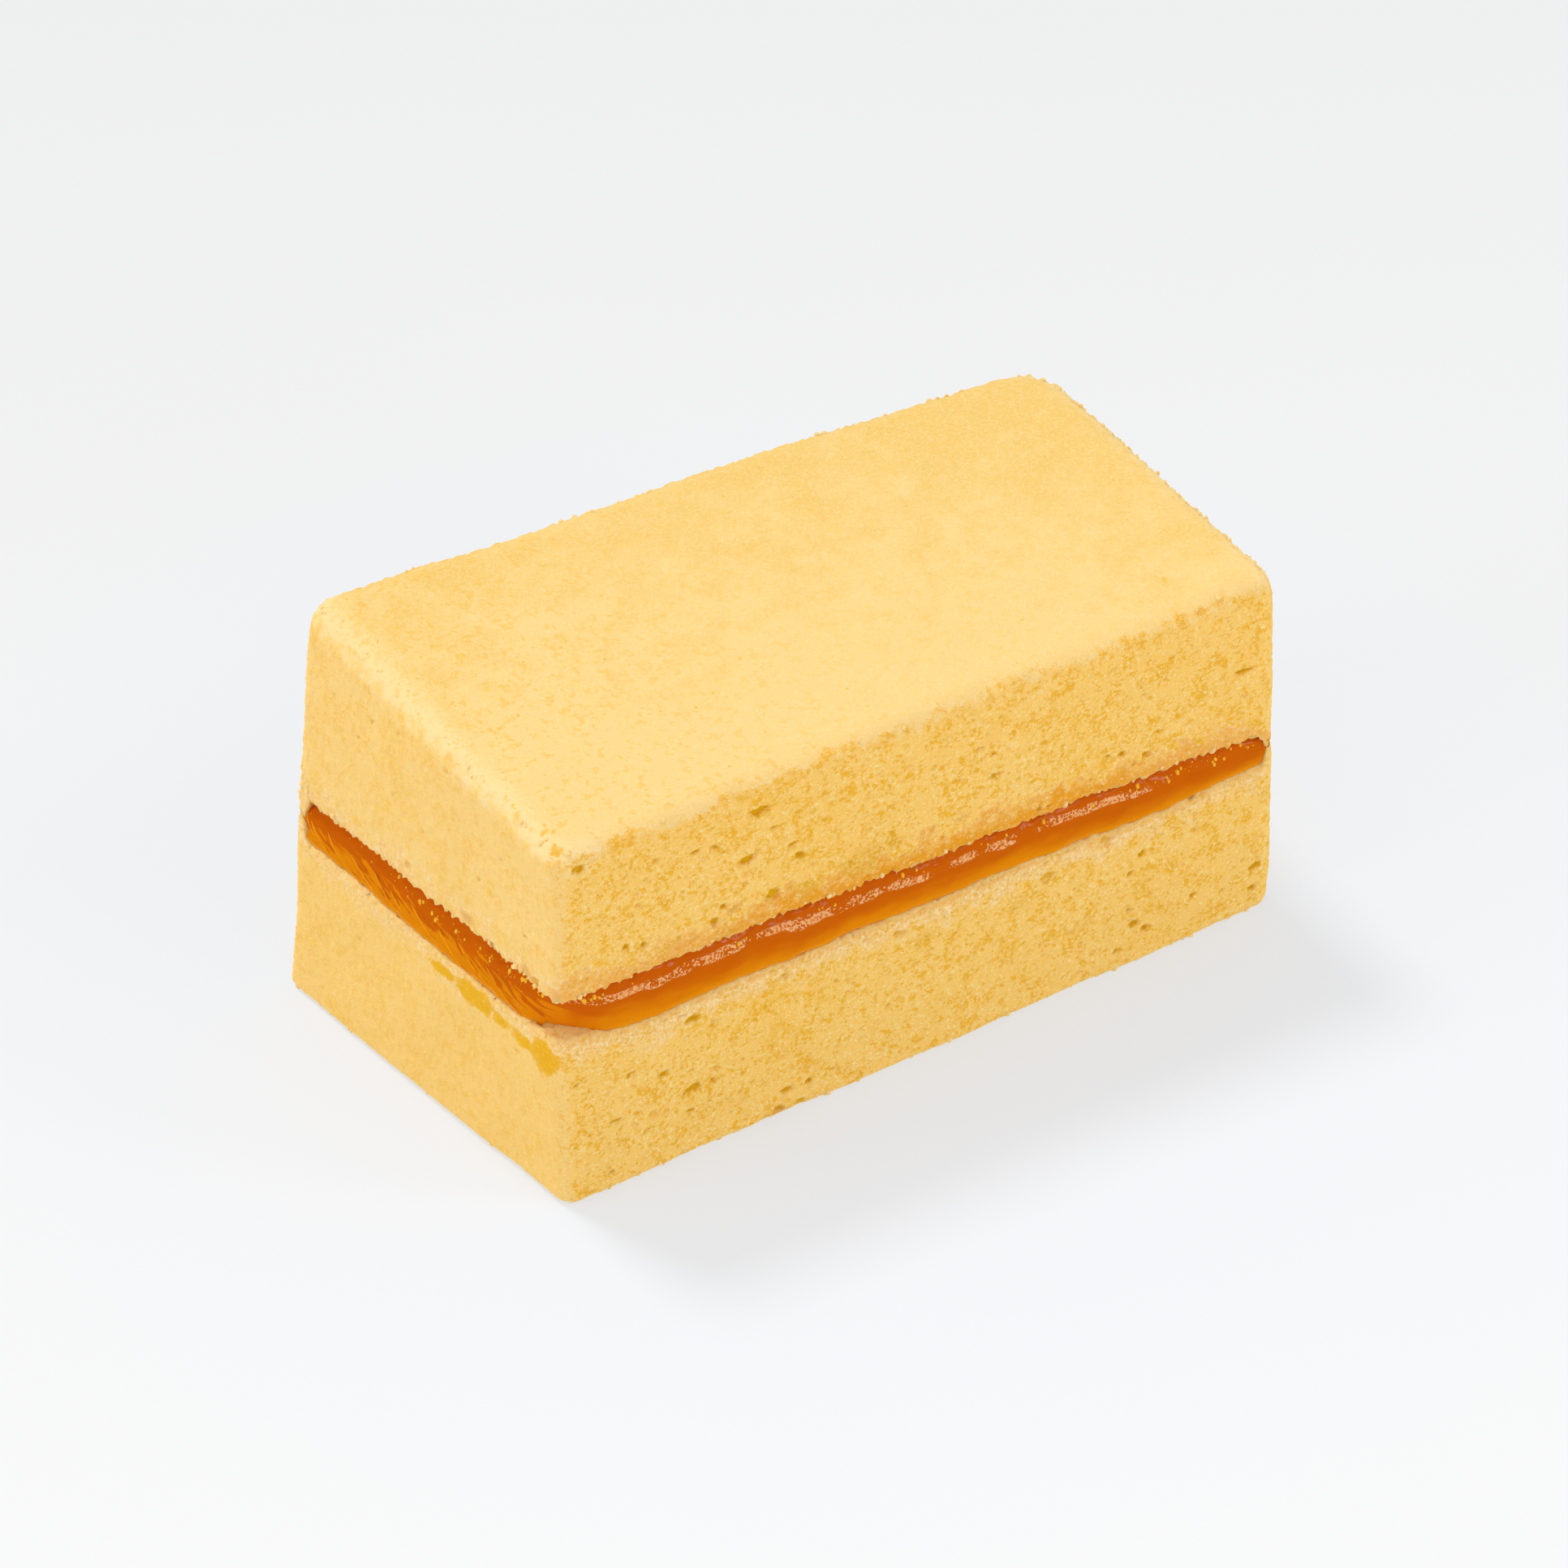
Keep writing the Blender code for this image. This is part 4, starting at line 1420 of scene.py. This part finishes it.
class CAKE_OT_crumbs(bpy.types.Operator):
    """Scatter loose crumbs along the cut edges"""

    bl_idname = "cake.crumbs"
    bl_label = "Loose crumbs"

    def execute(self, context):
        settings = context.scene.cake_crumbs
        material = crumb_material(settings)
        layers = {"lower_layer": foot_crumbs, "upper_layer": edge_crumbs}
        for number, (name, density_of) in enumerate(layers.items()):
            piece = bpy.data.objects[name]
            crumbs = scatter_source(f"{name}_crumbs", piece, density_of(piece.data))
            sizes = {
                "Density": settings.density, "Smallest": settings.smallest,
                "Largest": settings.largest, "Seed": settings.seed + number, "Material": material,
            }
            run_tree(crumbs, crumb_tree(sizes), sizes)
            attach(crumbs, "root")
        return {"FINISHED"}


# ---------------------------------------------------------------------------------------------
# Stage
# ---------------------------------------------------------------------------------------------

CAMERA_TARGET = Vector((-1.009, 0.45, 22)) * MM
SUN_FROM = Vector((-0.09, 0.55, 1))
SUN_SPREAD = radians(14)
AREA_LIGHTS = {  # their sizes and places
    "left fill": (0.5, Vector((-0.9, 0.1, 0.35))),
    "front fill": (0.5, Vector((0.3, -1, 0.22)) * 0.9),
    "soft box": (0.22, Vector((0.49, -0.57, 0.65)) * 0.8),
}
FLOOR_HALF = 2.5
PALE = 0.88  # how light the surroundings look to the camera


def aimed(thing, place, at):
    """Puts a light somewhere, looking at a point."""
    thing.location = place
    thing.rotation_euler = (at - place).to_track_quat("-Z", "Y").to_euler()
    return linked(thing)


def floor_material(settings):
    """A pale floor that glows a little, so that its shadow stays light."""
    material, tree = shader_tree("pale floor")
    place = tree.add("ShaderNodeTexCoord", {}, {}, output="Object")
    x, y, _ = place.parts()
    towards_camera = x * -sin(settings.azimuth) + y * -cos(settings.azimuth)
    grain = tree.noise(place * PER_MM, 30.0)
    level = towards_camera * 0.21 + (grain - 0.5) * 0.004 + 0.52
    far = tree.add("ShaderNodeVectorMath", {"operation": "LENGTH"}, {0: place}, output="Value")
    far = far.step(0.04, 0.13)  # close to the cake its own warm light is taken back
    red, blue = level + far * 0.03 - 0.018, level - far * 0.042 + 0.02
    glow = tree.add("ShaderNodeCombineColor", {}, {0: red, 1: level, 2: blue})
    constant = {
        "Base Color": (*settings.ground, 1), "Roughness": 0.9, "Specular IOR Level": 0.0,
        "Emission Strength": 1.0,
    }
    principled(tree, {"Emission Color": glow}, constant)
    return material


def sky(settings):
    """Even light from all round, which glossy surfaces see as dim and the camera as pale."""
    world = bpy.data.worlds.new("studio")
    world.use_nodes = True
    tree = Tree(world.node_tree)
    path = tree.add("ShaderNodeLightPath", {}, {}, output="Is Glossy Ray")
    seen = Value(tree, path.socket.node.outputs["Is Camera Ray"])
    strength = (1 - path * 0.97) * settings.sky + seen * (PALE - settings.sky)
    light = tree.add("ShaderNodeBackground", {}, {"Color": (1, 1, 1, 1), "Strength": strength})
    tree.add("ShaderNodeOutputWorld", {}, {"Surface": light})
    bpy.context.scene.world = world


def area_light(name, power, size, place):
    """A square light that looks at the cake."""
    lamp = bpy.data.lights.new(name, "AREA")
    lamp.energy, lamp.size = power, size
    return aimed(bpy.data.objects.new(name, lamp), place, CAMERA_TARGET)


def make_floor(settings):
    half = FLOOR_HALF
    data = bpy.data.meshes.new("floor")
    corners = [(-half, -half, 0), (half, -half, 0), (half, half, 0), (-half, half, 0)]
    data.from_pydata(corners, [], [(0, 1, 2, 3)])
    data.materials.append(floor_material(settings))
    floor = linked(bpy.data.objects.new("floor", data))
    floor.visible_glossy = False


def make_lights(settings):
    lamp = bpy.data.lights.new("key", "SUN")
    lamp.energy, lamp.angle = settings.key, SUN_SPREAD
    aimed(bpy.data.objects.new("key", lamp), SUN_FROM, Vector((0, 0, 0)))
    powers = {"left fill": settings.fill, "front fill": settings.front, "soft box": settings.box}
    for name, power in powers.items():
        light = area_light(name, power, *AREA_LIGHTS[name])
        light.visible_glossy = name == "soft box"  # so that the jelly mirrors that alone


def make_camera(settings):
    data = bpy.data.cameras.new("camera")
    data.lens, data.sensor_width = settings.lens, 36
    data.clip_start, data.clip_end = 0.05, 20
    camera = linked(bpy.data.objects.new("camera", data))
    flat = cos(settings.elevation)
    back = Vector((
        -sin(settings.azimuth) * flat, -cos(settings.azimuth) * flat, sin(settings.elevation)
    ))
    right = (-back).cross(Vector((0, 0, 1))).normalized()
    up = right.cross(-back)
    turned_right = right * cos(settings.roll) + up * sin(settings.roll)
    turned_up = up * cos(settings.roll) - right * sin(settings.roll)
    turn = Matrix((turned_right, turned_up, back)).transposed()
    place = CAMERA_TARGET + back * settings.distance
    camera.matrix_world = Matrix.LocRotScale(place, turn.to_quaternion(), None)
    return camera


class CAKE_OT_stage(bpy.types.Operator):
    """Make the floor, the lights and the camera"""

    bl_idname = "cake.stage"
    bl_label = "Stage"

    def execute(self, context):
        scene, settings = context.scene, context.scene.cake_stage
        make_floor(settings)
        sky(settings)
        make_lights(settings)
        scene.camera = make_camera(settings)
        scene.view_settings.view_transform = "Standard"
        scene.view_settings.look = "None"
        return {"FINISHED"}


# ---------------------------------------------------------------------------------------------
# Add-on
# ---------------------------------------------------------------------------------------------

OPERATORS = [
    CAKE_OT_lower_sponge, CAKE_OT_upper_sponge, CAKE_OT_filling, CAKE_OT_crumbs, CAKE_OT_stage,
]


class CAKE_PT_panel(bpy.types.Panel):
    """The cake's pieces and their settings."""

    bl_idname = "CAKE_PT_panel"
    bl_label = "Orange chiffon cake"
    bl_space_type = "VIEW_3D"
    bl_region_type = "UI"
    bl_category = "Cake"

    def draw(self, context):
        for operator in OPERATORS:
            self.layout.operator(operator.bl_idname)
        for name, group in SETTINGS.items():
            box = self.layout.box()
            for setting in group.__annotations__:
                box.prop(getattr(context.scene, name), setting)


def register():
    for group in (*SETTINGS.values(), *OPERATORS, CAKE_PT_panel):
        bpy.utils.register_class(group)
    for name, group in SETTINGS.items():
        setattr(bpy.types.Scene, name, PointerProperty(type=group))


def unregister():
    for name in SETTINGS:
        delattr(bpy.types.Scene, name)
    for group in (CAKE_PT_panel, *reversed(OPERATORS), *SETTINGS.values()):
        bpy.utils.unregister_class(group)


def main():
    register()
    bpy.ops.cake.lower_sponge()
    bpy.ops.cake.upper_sponge()
    bpy.ops.cake.filling()
    bpy.ops.cake.crumbs()
    bpy.ops.cake.stage()


if __name__ == "__main__":
    main()
